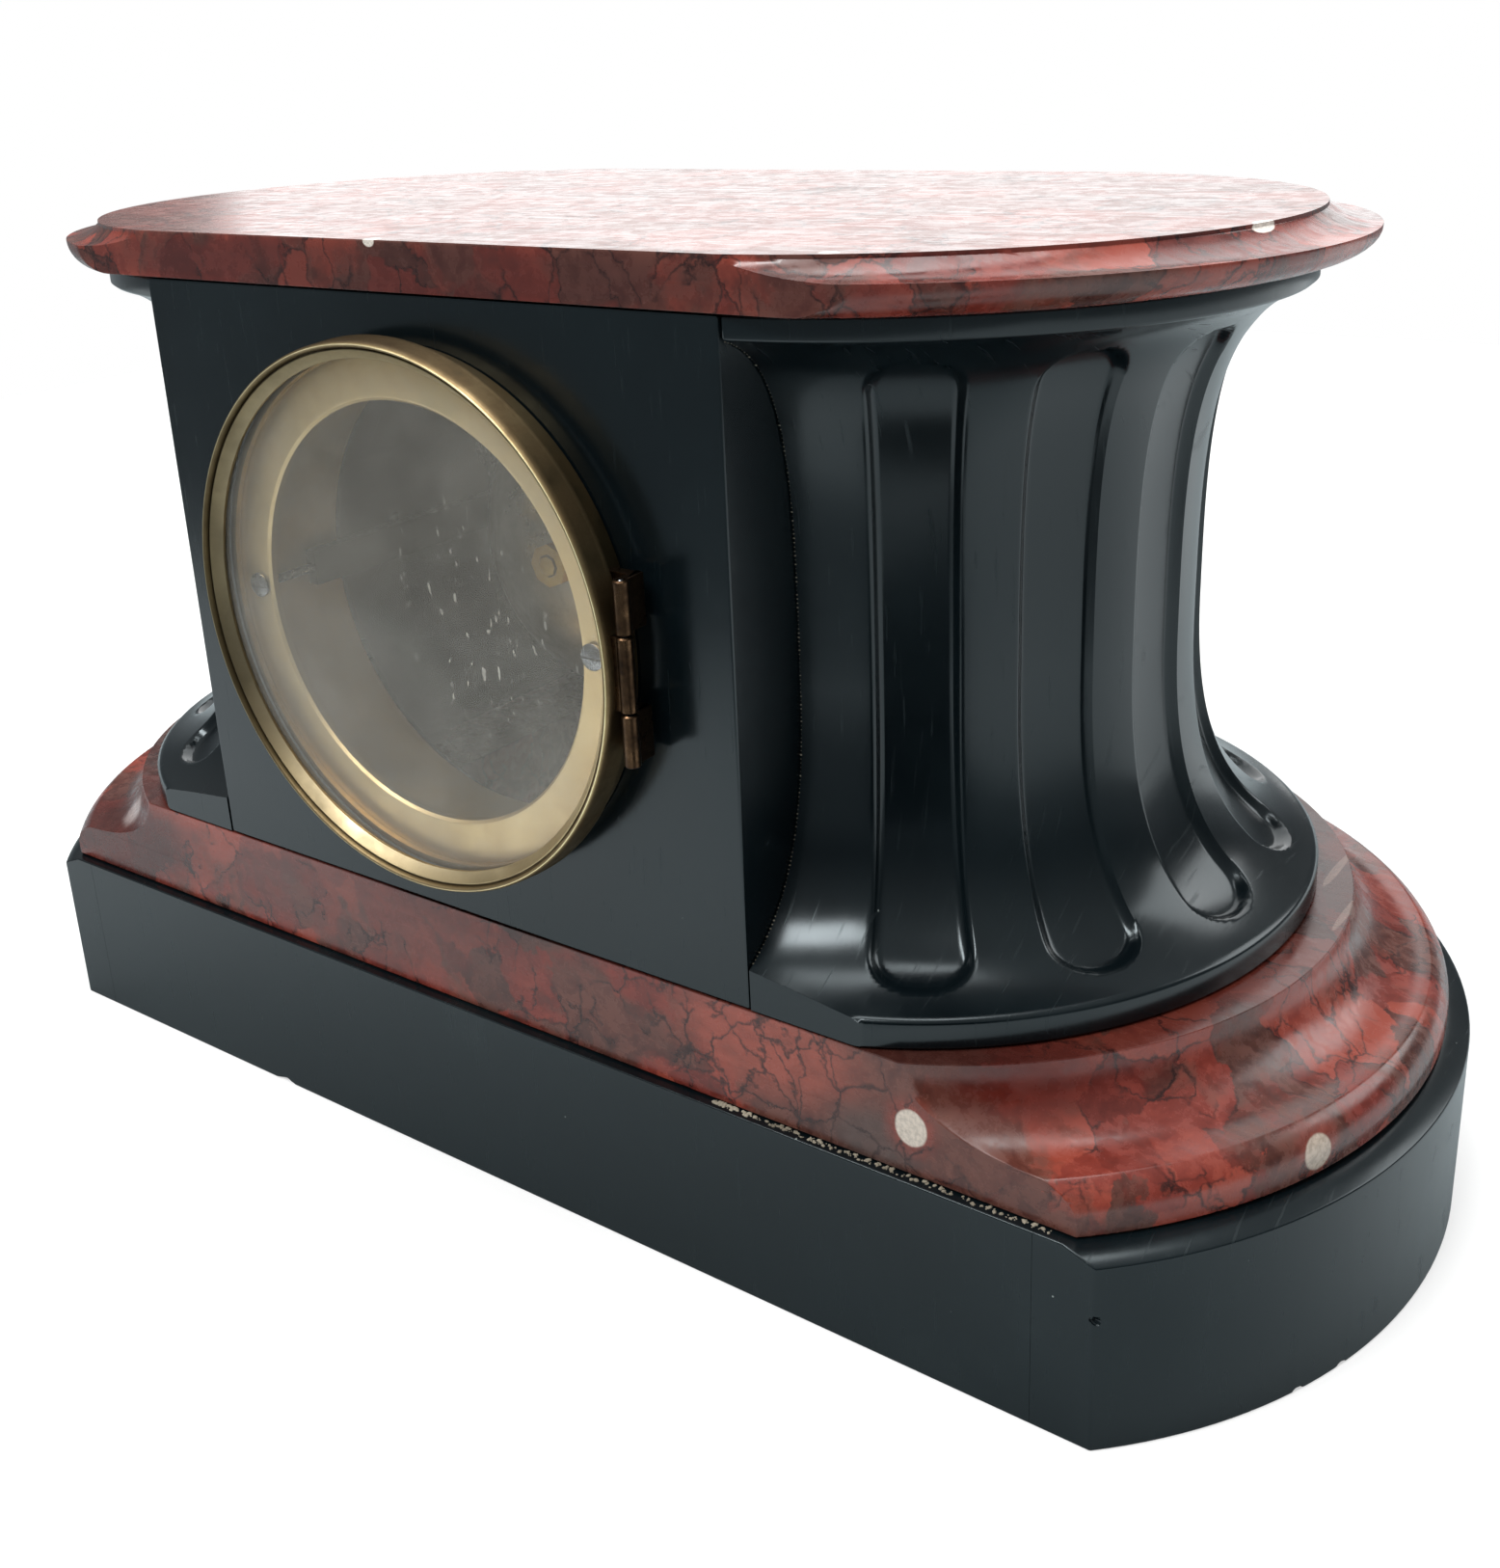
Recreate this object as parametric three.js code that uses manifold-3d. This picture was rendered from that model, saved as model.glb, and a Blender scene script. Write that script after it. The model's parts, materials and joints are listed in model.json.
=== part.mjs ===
// Mantel clock of black slate and red marble, with fluted drum ends and a round glazed brass door in its back.
// Millimetres, +Z up. The dial faces -Y and the glazed back faces +Y. The origin lies under the middle of the clock,
// on the surface that it stands on.
import * as THREE from 'three';
import { mergeVertices } from 'three/addons/utils/BufferGeometryUtils.js';
import Module from 'manifold-3d';

const wasm = await Module();
wasm.setup();

// Clearances
const JOINT = 0.3; // bed between stones, and seat of each fitted piece
const FIT = 0.4; // radial clearance of a turned piece in its hole
const MESH = 0.3; // between the tip circles of wheels that drive each other

// Plinth: a back slab and a front slab between two rounded end blocks
const PLINTH_HEIGHT = 37.6;
const PLINTH_LEDGE = 4.2; // beyond the foot of the moulding at the ends
const PLINTH_END_BLOCK = 10.7; // straight face of an end block, from its corner to the seam
const PLINTH_SLAB = 20;
const PLINTH_WEATHER_DROP = 2.4; // the ledge round the ends slopes down to its edge
const PLINTH_WEATHER_WIDTH = 6;
const PLINTH_BACK_PROUD = 2;
const PLINTH_FRONT_PROUD = 7;

// Base moulding of red marble
const MOULDING_HEIGHT = 20.5;
const MOULDING_LEDGE = 7.1; // beyond the drums' base band
const MOULDING_SPREAD_CORNER = 31.6; // from its top edge to its foot, at the corner of the straight face
const MOULDING_SPREAD_END = 18.1; // the same at the middle of the rounded end
const MOULDING_FILLET = 2.5; // upright part at the foot
const MOULDING_ROUND = 6; // height of the round above the fillet
const MOULDING_ROUND_SHARE = 0.2; // share of the projection that the round takes
const MOULDING_ROUND_TURN = 65; // degrees; the round ends at an arris before it lies flat
const MOULDING_FRONT_LEDGE = 1;
const MOULDING_FRONT_PROUD = 4;
const PENDULUM_SLOT_LENGTH = 100;
const PENDULUM_SLOT_WIDTH = 76;

// Body: two panels between two fluted drums
const BODY_HEIGHT = 117.3;
const BODY_DEPTH = 144.5;
const PANEL_HALF = 68.3;
const PANEL_THICK = 21;
const HOLE_RADIUS = 46.4; // round hole in each panel
const DIAL_LIFT = 1.75; // hole centre above the middle of the body
const DRUM_AXIS = 57.8; // each drum is turned about an upright axis this far from the middle
const BAND_PROUD = 7; // base band of a drum beyond half the depth of the body
const BAND_HEIGHT = 4.9;
const WAIST_HOLLOW = 17.05; // waist of a drum inside half the depth of the body
const WAIST_RISE = 53;
const FASCIA_PROUD = 0.15; // fascia of a drum beyond half the depth of the body
const FASCIA_HEIGHT = 3.8;
const FLUTE_COUNT = 6;
const FLUTE_FIRST = 31.8; // degrees round the drum's axis, from straight back
const FLUTE_PITCH = 25.15;
const FLUTE_SPREAD = 14.9; // degrees that one flute takes
const FLUTE_DEPTH = 3;
const FLUTE_FOOT_MARGIN = 6.2; // along the surface, from the base band
const FLUTE_HEAD_MARGIN = 9; // along the surface, from the fascia

// Top slab of red marble
const TOP_HEIGHT = 8.7;
const UNDER_LEDGE = 1.2; // bed of the slab beyond the drums' fascia
const UNDER_CORNER = 12.2; // its straight back edge beyond the panel
const LIP_OVERHANG = 8.5; // lip beyond the bed
const LIP_RISE = 4.8;
const LIP_EDGE = 0.4;
const TOP_SETBACK_CORNER = 20.6; // from the lip in to the top face, at the corner of the straight edge
const TOP_SETBACK_END = 9; // the same at the middle of the rounded end
const TOP_STEP = 2; // upright edge under the top face
const TOP_FRONT_PROUD = 0;
const LIP_FRONT_PROUD = 4;
const UNDER_FRONT_PROUD = 1;

// Brass fittings of the round holes
const TUBE_WALL = 1.6;
const TUBE_LENGTH = 18; // how far each tube reaches into its hole
const BACK_RING_OUTER = 50.85;
const BACK_RING_WIDTH = 3.6;
const BACK_RING_PROUD = 10.2;
const BACK_FLANGE_INNER = 39.2;
const BACK_FLANGE_FACE = 3.4; // face of the wide flange in front of the panel
const FRONT_RING_OUTER = 54.5;
const FRONT_RING_WIDTH = 7;
const FRONT_LIP = 0.9; // lip of the front ring, before its glass
const FRONT_FLANGE_INNER = 41.5;
const FRONT_FLANGE_FACE = 2.2;
const FLANGE_PLATE = 1.9; // thickness of each flange
const COLLAR_WALL = 1.4;
const COLLAR_SETBACK = 1.9; // collar inside the outer edge of its door ring
const COLLAR_RISE = 1;
const GLASS_THICK = 1.8;
const GLASS_REBATE = 1.55; // how far each glass runs in behind its ring's lip
const GLASS_BEVEL = 8; // width of the bevel round the front glass
const GLASS_EDGE = 1.1; // thickness of the front glass at its rim
const KNUCKLE_RADIUS = 1.4;
const KNUCKLE_MIDDLE = 13;
const KNUCKLE_OUTER = 9.2;
const HINGE_PIN_RADIUS = 0.6;
const HINGE_HEIGHT = 7.5; // hinge axis in front of the panel

// Dial and hands
const DIAL_RADIUS = 45;
const DIAL_THICK = 1.1;
const DIAL_FOOT_PLACE = 35.5;
const DIAL_FOOT_RADIUS = 1.5;
const HAND_THICK = 0.7;
const HAND_GAP = 0.8;
const HOUR_HAND_LENGTH = 25;
const MINUTE_HAND_LENGTH = 37;
const HAND_WIDTH = 3;
const COLLET_HEIGHT = 1.2;

// Movement plates and straps
const PLATE_RADIUS = 40;
const PLATE_THICK = 2.5;
const PLATE_GAP = 42;
const PLATE_SETBACK = 8; // front plate behind the face of the front panel
const PILLAR_RADIUS = 2.2;
const PILLAR_PLACE = 36;
const STRAP_WIDTH = 7;
const STRAP_THICK = 2.6;
const STRAP_SIDE_GAP = 0.8;
const SCREW_RADIUS = 0.9;
const SCREW_HEAD_RADIUS = 2.4;
const SCREW_GRIP = 8; // length of screw inside the strap

// Wheels, all between the plates unless said otherwise
const ARBOR_RADIUS = 1.2;
const WHEEL_THICK = 1.6;
const PINION_LENGTH = 3.6;
const TOOTH_HEIGHT = 1.2;
const BARREL_SIDE = 18.5;
const BARREL_DROP = 11;
const BARREL_RADIUS = 14.5;
const BARREL_LENGTH = 24;
const BARREL_WALL = 1.4;
const WINDING_RADIUS = 2;
const WINDING_SQUARE = 2.6; // across the flats of the key square
const CENTRE_PINION = 4;
const CENTRE_WHEEL = 13;
const THIRD_PINION = 3.3;
const THIRD_WHEEL = 10;
const THIRD_BEARING = 122.7; // degrees round the centre arbor, from +X towards +Z
const ESCAPE_PINION = 2.5;
const ESCAPE_WHEEL = 8;
const ESCAPE_BEARING = 45.3;
const CANNON_PINION = 3;
const MINUTE_WHEEL = 9;
const MINUTE_WHEEL_PINION = 2.4;
const MINUTE_WHEEL_BEARING = 45;
const HOUR_PIPE_WALL = 0.9;
const PIN_WHEEL_PINION = 3.3;
const PIN_WHEEL = 9.5;
const PIN_WHEEL_BEARING = 102.4;
const FLY_PINION = 2;
const FLY_BEARING = 65;
const FLY_WIDTH = 12;
const FLY_LENGTH = 16;
const COUNT_WHEEL = 12;

// Places of the wheels, behind the inner face of the front plate
const GREAT_WHEEL_PLACE = 3;
const FLY_PLACE = 8;
const THIRD_WHEEL_PLACE = 24;
const PIN_WHEEL_PLACE = 30;
const CENTRE_WHEEL_PLACE = 34;
const ESCAPE_WHEEL_PLACE = 37.5;

// Pendulum, hammer and bell, behind the back plate
const ANCHOR_CLEAR = 1.6; // anchor's inner arc outside the escape wheel
const ANCHOR_BAND = 2.4;
const ANCHOR_SPREAD = 70; // degrees each side of upright
const CRUTCH_LENGTH = 24;
const CRUTCH_WIDTH = 3;
const CRUTCH_THICK = 1.5;
const PENDULUM_SETBACK = 8; // pendulum rod behind the back plate
const PENDULUM_LENGTH = 107; // suspension to the middle of the bob
const ROD_RADIUS = 1.2;
const BOB_RADIUS = 15;
const BOB_THICK = 9;
const NUT_RADIUS = 3;
const NUT_HEIGHT = 3;
const BELL_RADIUS = 33;
const BELL_HEIGHT = 21;
const BELL_WALL = 2;
const BELL_SETBACK = 33; // mouth of the bell behind the back plate
const STAND_RADIUS = 2;
const STAND_SIDE = 14;
const STAND_RISE = 12;
const STAND_ARM_PLACE = 16;
const HAMMER_SIDE = 35.5;
const HAMMER_DROP = 8;
const HAMMER_HEAD_RADIUS = 3;
const HAMMER_HEAD_BEARING = 25;
const HAMMER_GAP = 0.6;

// Facets of round shapes
const END_ARC_STEPS = 18;
const DRUM_STEPS = 48;
const RING_STEPS = 32;
const BELL_STEPS = 20;
const SHAFT_STEPS = 8;
const MERGE_TOLERANCE = 1e-4;

// Levels and faces that follow from the sizes
const MOULDING_BASE = PLINTH_HEIGHT + JOINT;
const BODY_BASE = MOULDING_BASE + MOULDING_HEIGHT + JOINT;
const TOP_BASE = BODY_BASE + BODY_HEIGHT + JOINT;
const HAND_STACK = FRONT_FLANGE_FACE + DIAL_THICK + 2 * (HAND_GAP + HAND_THICK) + COLLET_HEIGHT + 3 * JOINT;
const FRONT_GLASS_BACK = HAND_STACK + HAND_GAP;
const FRONT_LIP_SEAT = FRONT_GLASS_BACK + GLASS_THICK + JOINT;
const FRONT_RING_PROUD = FRONT_LIP_SEAT + FRONT_LIP;
const BODY_MIDDLE = (FRONT_RING_PROUD - BACK_RING_PROUD) / 2;
const BODY_BACK = BODY_MIDDLE + BODY_DEPTH / 2;
const BODY_FRONT = BODY_MIDDLE - BODY_DEPTH / 2;
const BAND_RADIUS = BODY_DEPTH / 2 + BAND_PROUD;
const WAIST_RADIUS = BODY_DEPTH / 2 - WAIST_HOLLOW;
const FASCIA_RADIUS = BODY_DEPTH / 2 + FASCIA_PROUD;
const PLINTH_BACK = BODY_BACK + PLINTH_BACK_PROUD;
const PLINTH_FRONT = BODY_FRONT - PLINTH_FRONT_PROUD;
const DIAL_CENTRE = BODY_BASE + BODY_HEIGHT / 2 + DIAL_LIFT;
const TUBE_OUTER = HOLE_RADIUS - FIT;
const TUBE_INNER = TUBE_OUTER - TUBE_WALL;

// Finishes
const FINISHES = {
  slate: { color: 0x1b2224, roughness: 0.35, metalness: 0 },
  marble: { color: 0x7a3029, roughness: 0.25, metalness: 0 },
  brass: { color: 0xa08445, roughness: 0.35, metalness: 1 },
  glass: { color: 0xcfd8d4, roughness: 0.05, metalness: 0, transparent: true, opacity: 0.3 },
  enamel: { color: 0xeeeae0, roughness: 0.2, metalness: 0 },
  steel: { color: 0x777c80, roughness: 0.3, metalness: 1 },
  bluedSteel: { color: 0x1c2433, roughness: 0.3, metalness: 1 },
  bellMetal: { color: 0x5a5648, roughness: 0.45, metalness: 1 },
};

// Turns a closed geometry into a solid with its faces pointing out.
function solidOf(geometry) {
  const bare = geometry.index ? geometry.toNonIndexed() : geometry.clone();
  bare.deleteAttribute('normal');
  bare.deleteAttribute('uv');
  const merged = mergeVertices(bare, MERGE_TOLERANCE);
  const corners = merged.index.array;
  const points = merged.attributes.position.array;
  const triangles = [];
  for (let i = 0; i < corners.length; i += 3) {
    const [a, b, c] = [corners[i], corners[i + 1], corners[i + 2]];
    if (a !== b && b !== c && c !== a) triangles.push([a, b, c]);
  }
  const at = (i) => new THREE.Vector3().fromArray(points, 3 * i);
  const volume = triangles.reduce((sum, [a, b, c]) => sum + at(a).dot(at(b).cross(at(c))), 0);
  const outward = volume < 0 ? triangles.map(([a, b, c]) => [a, c, b]) : triangles;
  return new wasm.Manifold(new wasm.Mesh({
    numProp: 3,
    vertProperties: new Float32Array(points),
    triVerts: new Uint32Array(outward.flat()),
  }));
}

// Gives a solid back as a geometry with flat facets.
function geometryOf(solid) {
  const mesh = solid.getMesh();
  const geometry = new THREE.BufferGeometry();
  const points = new Float32Array(mesh.numVert * 3);
  for (let i = 0; i < mesh.numVert; i++) {
    for (let k = 0; k < 3; k++) points[3 * i + k] = mesh.vertProperties[mesh.numProp * i + k];
  }
  geometry.setAttribute('position', new THREE.BufferAttribute(points, 3));
  geometry.setIndex(new THREE.BufferAttribute(new Uint32Array(mesh.triVerts), 1));
  geometry.computeVertexNormals();
  return geometry;
}

const blend = (from, to, share) => from + (to - from) * share;
const blendPlans = (from, to, share) => ({
  straight: blend(from.straight, to.straight, share),
  reach: blend(from.reach, to.reach, share),
});
const quarter = (steps) => Array.from({ length: steps + 1 }, (_, i) => (Math.PI / 2) * (i / steps));

const join = (first, ...others) => others.reduce((sum, other) => sum.add(other), first);
const cut = (body, ...tools) => tools.reduce((rest, tool) => rest.subtract(tool), body);

// A straight block between two corners.
function block([x0, y0, z0], [x1, y1, z1]) {
  const geometry = new THREE.BoxGeometry(x1 - x0, y1 - y0, z1 - z0);
  return solidOf(geometry.translate((x0 + x1) / 2, (y0 + y1) / 2, (z0 + z1) / 2));
}

// A piece turned about an axis along Y through (x, z); its profile holds [radius, y] pairs.
function turned(profile, steps, x = 0, z = 0) {
  const points = profile.map(([radius, y]) => new THREE.Vector2(radius, y));
  return solidOf(new THREE.LatheGeometry(points, steps).translate(x, 0, z));
}

// A ring turned about Y: its profile closes on itself.
function turnedRing(profile, steps, x = 0, z = 0) {
  return turned([...profile, profile[0]], steps, x, z);
}

// A plain round bar along Y.
function bar(radius, y0, y1, x = 0, z = 0, steps = SHAFT_STEPS) {
  return turned([[0, y0], [radius, y0], [radius, y1], [0, y1]], steps, x, z);
}

// A piece turned about an upright axis at (x, y); its profile holds [radius, z] pairs.
function turnedUpright(profile, steps, x, y) {
  const points = profile.map(([radius, z]) => new THREE.Vector2(radius, z));
  const geometry = new THREE.LatheGeometry(points, steps).rotateX(Math.PI / 2);
  return solidOf(geometry.translate(x, y, 0));
}

// A plate cut from a flat outline of [x, z] pairs, between two places along Y, with round holes {x, z, radius}.
function plate(outline, y0, y1, holes = []) {
  const shape = new THREE.Shape(outline.map(([x, z]) => new THREE.Vector2(x, z)));
  for (const hole of holes) {
    const ring = circle(hole.radius, hole.steps ?? SHAFT_STEPS, hole.x, hole.z);
    shape.holes.push(new THREE.Path(ring.map(([x, z]) => new THREE.Vector2(x, z))));
  }
  const geometry = new THREE.ExtrudeGeometry(shape, { depth: y1 - y0, bevelEnabled: false });
  return solidOf(geometry.rotateX(Math.PI / 2).translate(0, y1, 0));
}

function circle(radius, steps, x = 0, z = 0) {
  return Array.from({ length: steps }, (_, i) => {
    const turn = (2 * Math.PI * i) / steps;
    return [x + radius * Math.cos(turn), z + radius * Math.sin(turn)];
  });
}

// A closed skin over rings that all have the same number of points.
function skin(rings) {
  const size = rings[0].length;
  const middle = (ring) => ring.reduce((sum, p) => sum.add(p), new THREE.Vector3()).divideScalar(size);
  const points = [...rings.flat(), middle(rings[0]), middle(rings[rings.length - 1])];
  const triangles = [];
  for (let i = 0; i < size; i++) {
    const next = (i + 1) % size;
    for (let k = 0; k + 1 < rings.length; k++) {
      const [a, b] = [k * size + i, k * size + next];
      triangles.push([a, b, b + size], [a, b + size, a + size]);
    }
    const last = (rings.length - 1) * size;
    triangles.push([points.length - 2, next, i], [points.length - 1, last + i, last + next]);
  }
  const geometry = new THREE.BufferGeometry();
  geometry.setAttribute('position', new THREE.Float32BufferAttribute(points.flatMap((p) => p.toArray()), 3));
  geometry.setIndex(triangles.flat());
  return solidOf(geometry);
}

// Plan of a tier of the case: straight back and front, with an arc about the body's middle line at each end.
// straight is the half length at the back, and reach is the half length over the arcs.
function tierOutline({ z, straight, reach, back, front }) {
  const half = back - BODY_MIDDLE;
  const bulge = reach - straight;
  const radius = (bulge * bulge + half * half) / (2 * bulge);
  const backTurn = Math.asin(half / radius);
  const frontTurn = Math.asin(Math.max(-1, (front - BODY_MIDDLE) / radius));
  const rightEnd = Array.from({ length: END_ARC_STEPS + 1 }, (_, i) => {
    const turn = blend(frontTurn, backTurn, i / END_ARC_STEPS);
    const x = reach - radius + radius * Math.cos(turn);
    return new THREE.Vector3(x, BODY_MIDDLE + radius * Math.sin(turn), z);
  });
  const leftEnd = rightEnd.map((p) => new THREE.Vector3(-p.x, p.y, z)).reverse();
  return [...rightEnd, ...leftEnd];
}

const tier = (levels) => skin(levels.map(tierOutline));

// Plans of the tiers, each laid out from the one that it carries or covers
const BAND_PLAN = {
  straight: DRUM_AXIS + Math.sqrt(BAND_RADIUS ** 2 - (BODY_BACK - BODY_MIDDLE) ** 2),
  reach: DRUM_AXIS + BAND_RADIUS,
};
const MOULDING_TOP_PLAN = {
  straight: BAND_PLAN.straight + MOULDING_LEDGE,
  reach: BAND_PLAN.reach + MOULDING_LEDGE,
};
const MOULDING_FOOT_PLAN = {
  straight: MOULDING_TOP_PLAN.straight + MOULDING_SPREAD_CORNER,
  reach: MOULDING_TOP_PLAN.reach + MOULDING_SPREAD_END,
};
const PLINTH_PLAN = {
  straight: MOULDING_FOOT_PLAN.straight + PLINTH_LEDGE,
  reach: MOULDING_FOOT_PLAN.reach + PLINTH_LEDGE,
};
const UNDER_PLAN = {
  straight: PANEL_HALF + UNDER_CORNER,
  reach: DRUM_AXIS + FASCIA_RADIUS + UNDER_LEDGE,
};
const LIP_PLAN = {
  straight: UNDER_PLAN.straight + LIP_OVERHANG,
  reach: UNDER_PLAN.reach + LIP_OVERHANG,
};
const TOP_PLAN = {
  straight: LIP_PLAN.straight - TOP_SETBACK_CORNER,
  reach: LIP_PLAN.reach - TOP_SETBACK_END,
};

// The plinth before it is sawn into slabs and end blocks.
function plinthTier() {
  const faces = { back: PLINTH_BACK, front: PLINTH_FRONT };
  const edge = { ...PLINTH_PLAN, ...faces };
  const ledge = {
    straight: PLINTH_PLAN.straight - PLINTH_WEATHER_WIDTH,
    reach: PLINTH_PLAN.reach - PLINTH_WEATHER_WIDTH,
    ...faces,
  };
  return tier([
    { z: 0, ...edge },
    { z: PLINTH_HEIGHT - PLINTH_WEATHER_DROP, ...edge },
    { z: PLINTH_HEIGHT, ...ledge },
  ]);
}

// One stone of the plinth: what lies between two places along X and two along Y.
function plinthStone(x0, x1, y0, y1) {
  return plinthTier().intersect(block([x0, y0, -1], [x1, y1, PLINTH_HEIGHT + 1]));
}

// Section of the base moulding as [share of its projection, height] pairs, from the foot up.
function mouldingSection() {
  const hollowShare = 1 - MOULDING_ROUND_SHARE;
  const hollowBase = MOULDING_FILLET + MOULDING_ROUND;
  const hollowHeight = MOULDING_HEIGHT - hollowBase;
  const last = THREE.MathUtils.degToRad(MOULDING_ROUND_TURN);
  const round = [0, 1, 2, 3, 4].map((i) => {
    const turn = (last * i) / 4;
    return [
      1 - (MOULDING_ROUND_SHARE * (1 - Math.cos(turn))) / (1 - Math.cos(last)),
      MOULDING_FILLET + (MOULDING_ROUND * Math.sin(turn)) / Math.sin(last),
    ];
  });
  const hollow = quarter(5).slice(1).map((turn) => [
    hollowShare * (1 - Math.sin(turn)),
    hollowBase + hollowHeight * (1 - Math.cos(turn)),
  ]);
  return [[1, 0], ...round, ...hollow];
}

function baseMoulding() {
  const levels = mouldingSection().map(([share, height]) => ({
    z: MOULDING_BASE + height,
    ...blendPlans(MOULDING_TOP_PLAN, MOULDING_FOOT_PLAN, share),
    back: BODY_BACK,
    front: BODY_FRONT - MOULDING_FRONT_LEDGE - MOULDING_FRONT_PROUD * share,
  }));
  const slot = block(
    [-PENDULUM_SLOT_LENGTH / 2, BODY_MIDDLE - PENDULUM_SLOT_WIDTH / 2, 0],
    [PENDULUM_SLOT_LENGTH / 2, BODY_MIDDLE + PENDULUM_SLOT_WIDTH / 2, BODY_BASE],
  );
  return cut(tier(levels), slot);
}

// Levels of the top slab, from its bed up: a round underside, a lip, a hollow and an upright step.
function topSlab() {
  const level = (height, low, share) => ({
    z: TOP_BASE + height,
    ...blendPlans(low ? UNDER_PLAN : TOP_PLAN, LIP_PLAN, share),
    back: BODY_BACK,
    front: BODY_FRONT - blend(low ? UNDER_FRONT_PROUD : TOP_FRONT_PROUD, LIP_FRONT_PROUD, share),
  });
  const hollowBase = LIP_RISE + LIP_EDGE;
  const hollowHeight = TOP_HEIGHT - TOP_STEP - hollowBase;
  const round = quarter(4).map((turn) => level(LIP_RISE * (1 - Math.cos(turn)), true, Math.sin(turn)));
  const hollow = quarter(4).map((turn) => level(
    hollowBase + hollowHeight * (1 - Math.cos(turn)),
    false,
    1 - Math.sin(turn),
  ));
  return tier([...round, ...hollow, level(TOP_HEIGHT, false, 0)]);
}

// The waisted side of a drum, as [radius, z] points from the base band up to the fascia.
function drumSide(steps) {
  const foot = new THREE.Vector2(BAND_RADIUS, BODY_BASE + BAND_HEIGHT);
  const waist = new THREE.Vector2(WAIST_RADIUS, BODY_BASE + WAIST_RISE);
  const head = new THREE.Vector2(FASCIA_RADIUS, BODY_BASE + BODY_HEIGHT - FASCIA_HEIGHT);
  const lower = new THREE.CubicBezierCurve(
    foot,
    new THREE.Vector2(blend(foot.x, waist.x, 0.68), blend(foot.y, waist.y, 0.12)),
    new THREE.Vector2(waist.x, blend(foot.y, waist.y, 0.375)),
    waist,
  );
  const upper = new THREE.CubicBezierCurve(
    waist,
    new THREE.Vector2(waist.x, blend(waist.y, head.y, 0.52)),
    new THREE.Vector2(waist.x, blend(waist.y, head.y, 0.92)),
    head,
  );
  return [...lower.getPoints(steps), ...upper.getPoints(steps).slice(1)];
}

// A cutter for one flute: it follows the drum's side, and both of its ends are round.
function fluteCutter(bearing) {
  const side = drumSide(40);
  const along = [0];
  for (let i = 1; i < side.length; i++) along.push(along[i - 1] + side[i].distanceTo(side[i - 1]));
  const spread = Math.sin(THREE.MathUtils.degToRad(FLUTE_SPREAD / 2));
  const half = WAIST_RADIUS * spread;
  const start = FLUTE_FOOT_MARGIN;
  const end = along[along.length - 1] - FLUTE_HEAD_MARGIN;
  const endTurns = [12, 35, 62, 90].map((degrees) => THREE.MathUtils.degToRad(degrees));
  const stations = endTurns.map((turn) => [start + half * (1 - Math.cos(turn)), Math.sin(turn)]);
  const middles = 6;
  for (let i = 1; i < middles; i++) stations.push([blend(start + half, end - half, i / middles), 1]);
  for (const turn of [...endTurns].reverse()) stations.push([end - half * (1 - Math.cos(turn)), Math.sin(turn)]);
  const outward = new THREE.Vector3(Math.cos(bearing), Math.sin(bearing), 0);
  const across = new THREE.Vector3(-outward.y, outward.x, 0);
  const rings = stations.map(([distance, size]) => {
    const i = Math.max(1, along.findIndex((length) => length >= distance));
    const share = (distance - along[i - 1]) / (along[i] - along[i - 1]);
    const spot = side[i - 1].clone().lerp(side[i], share);
    const run = side[i].clone().sub(side[i - 1]).normalize();
    const normal = outward.clone().multiplyScalar(run.y).add(new THREE.Vector3(0, 0, -run.x));
    const base = outward.clone().multiplyScalar(spot.x).add(new THREE.Vector3(DRUM_AXIS, BODY_MIDDLE, spot.y));
    const wide = spot.x * spread * size;
    const corner = (sideways, depth) => base.clone().addScaledVector(across, sideways).addScaledVector(normal, depth);
    const groove = Array.from({ length: 7 }, (_, k) => {
      const turn = (Math.PI * k) / 6;
      return corner(wide * Math.cos(turn), -FLUTE_DEPTH * size * Math.sin(turn));
    });
    return [...groove, corner(-wide, FLUTE_DEPTH / 2), corner(wide, FLUTE_DEPTH / 2)];
  });
  return skin(rings);
}

// A drum as it stands at +X: turned, sawn flat at its back, front and inner side, and fluted. The flutes are counted
// from the back, which lies at +Y for side 1 and at -Y for side -1.
function drum(side) {
  const top = BODY_BASE + BODY_HEIGHT;
  const flank = drumSide(7).map((p) => [p.x, p.y]);
  const profile = [[0, BODY_BASE], [BAND_RADIUS, BODY_BASE], ...flank, [FASCIA_RADIUS, top], [0, top]];
  const round = turnedUpright(profile, DRUM_STEPS, DRUM_AXIS, BODY_MIDDLE);
  const sawn = round.intersect(block(
    [PANEL_HALF + JOINT, BODY_FRONT, BODY_BASE - 1],
    [DRUM_AXIS + 2 * BAND_RADIUS, BODY_BACK, top + 1],
  ));
  const cutters = Array.from({ length: FLUTE_COUNT }, (_, i) => {
    const bearing = side * (90 - FLUTE_FIRST - FLUTE_PITCH * i);
    return fluteCutter(THREE.MathUtils.degToRad(bearing));
  });
  return cut(sawn, ...cutters);
}

// A slate panel with its round hole.
function panel(y0, y1) {
  const outline = [
    [-PANEL_HALF, BODY_BASE],
    [PANEL_HALF, BODY_BASE],
    [PANEL_HALF, BODY_BASE + BODY_HEIGHT],
    [-PANEL_HALF, BODY_BASE + BODY_HEIGHT],
  ];
  return plate(outline, y0, y1, [{ x: 0, z: DIAL_CENTRE, radius: HOLE_RADIUS, steps: RING_STEPS }]);
}

// Hinge of a round door, in the door's own frame: y points out of the panel, z = 0 at the hole's centre, and the
// barrel stands at -x beside a ring of the given radius.
const hingeSide = (ringOuter) => -(ringOuter + KNUCKLE_RADIUS + JOINT);
const hingeLength = KNUCKLE_MIDDLE + 2 * (KNUCKLE_OUTER + JOINT);

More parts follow.
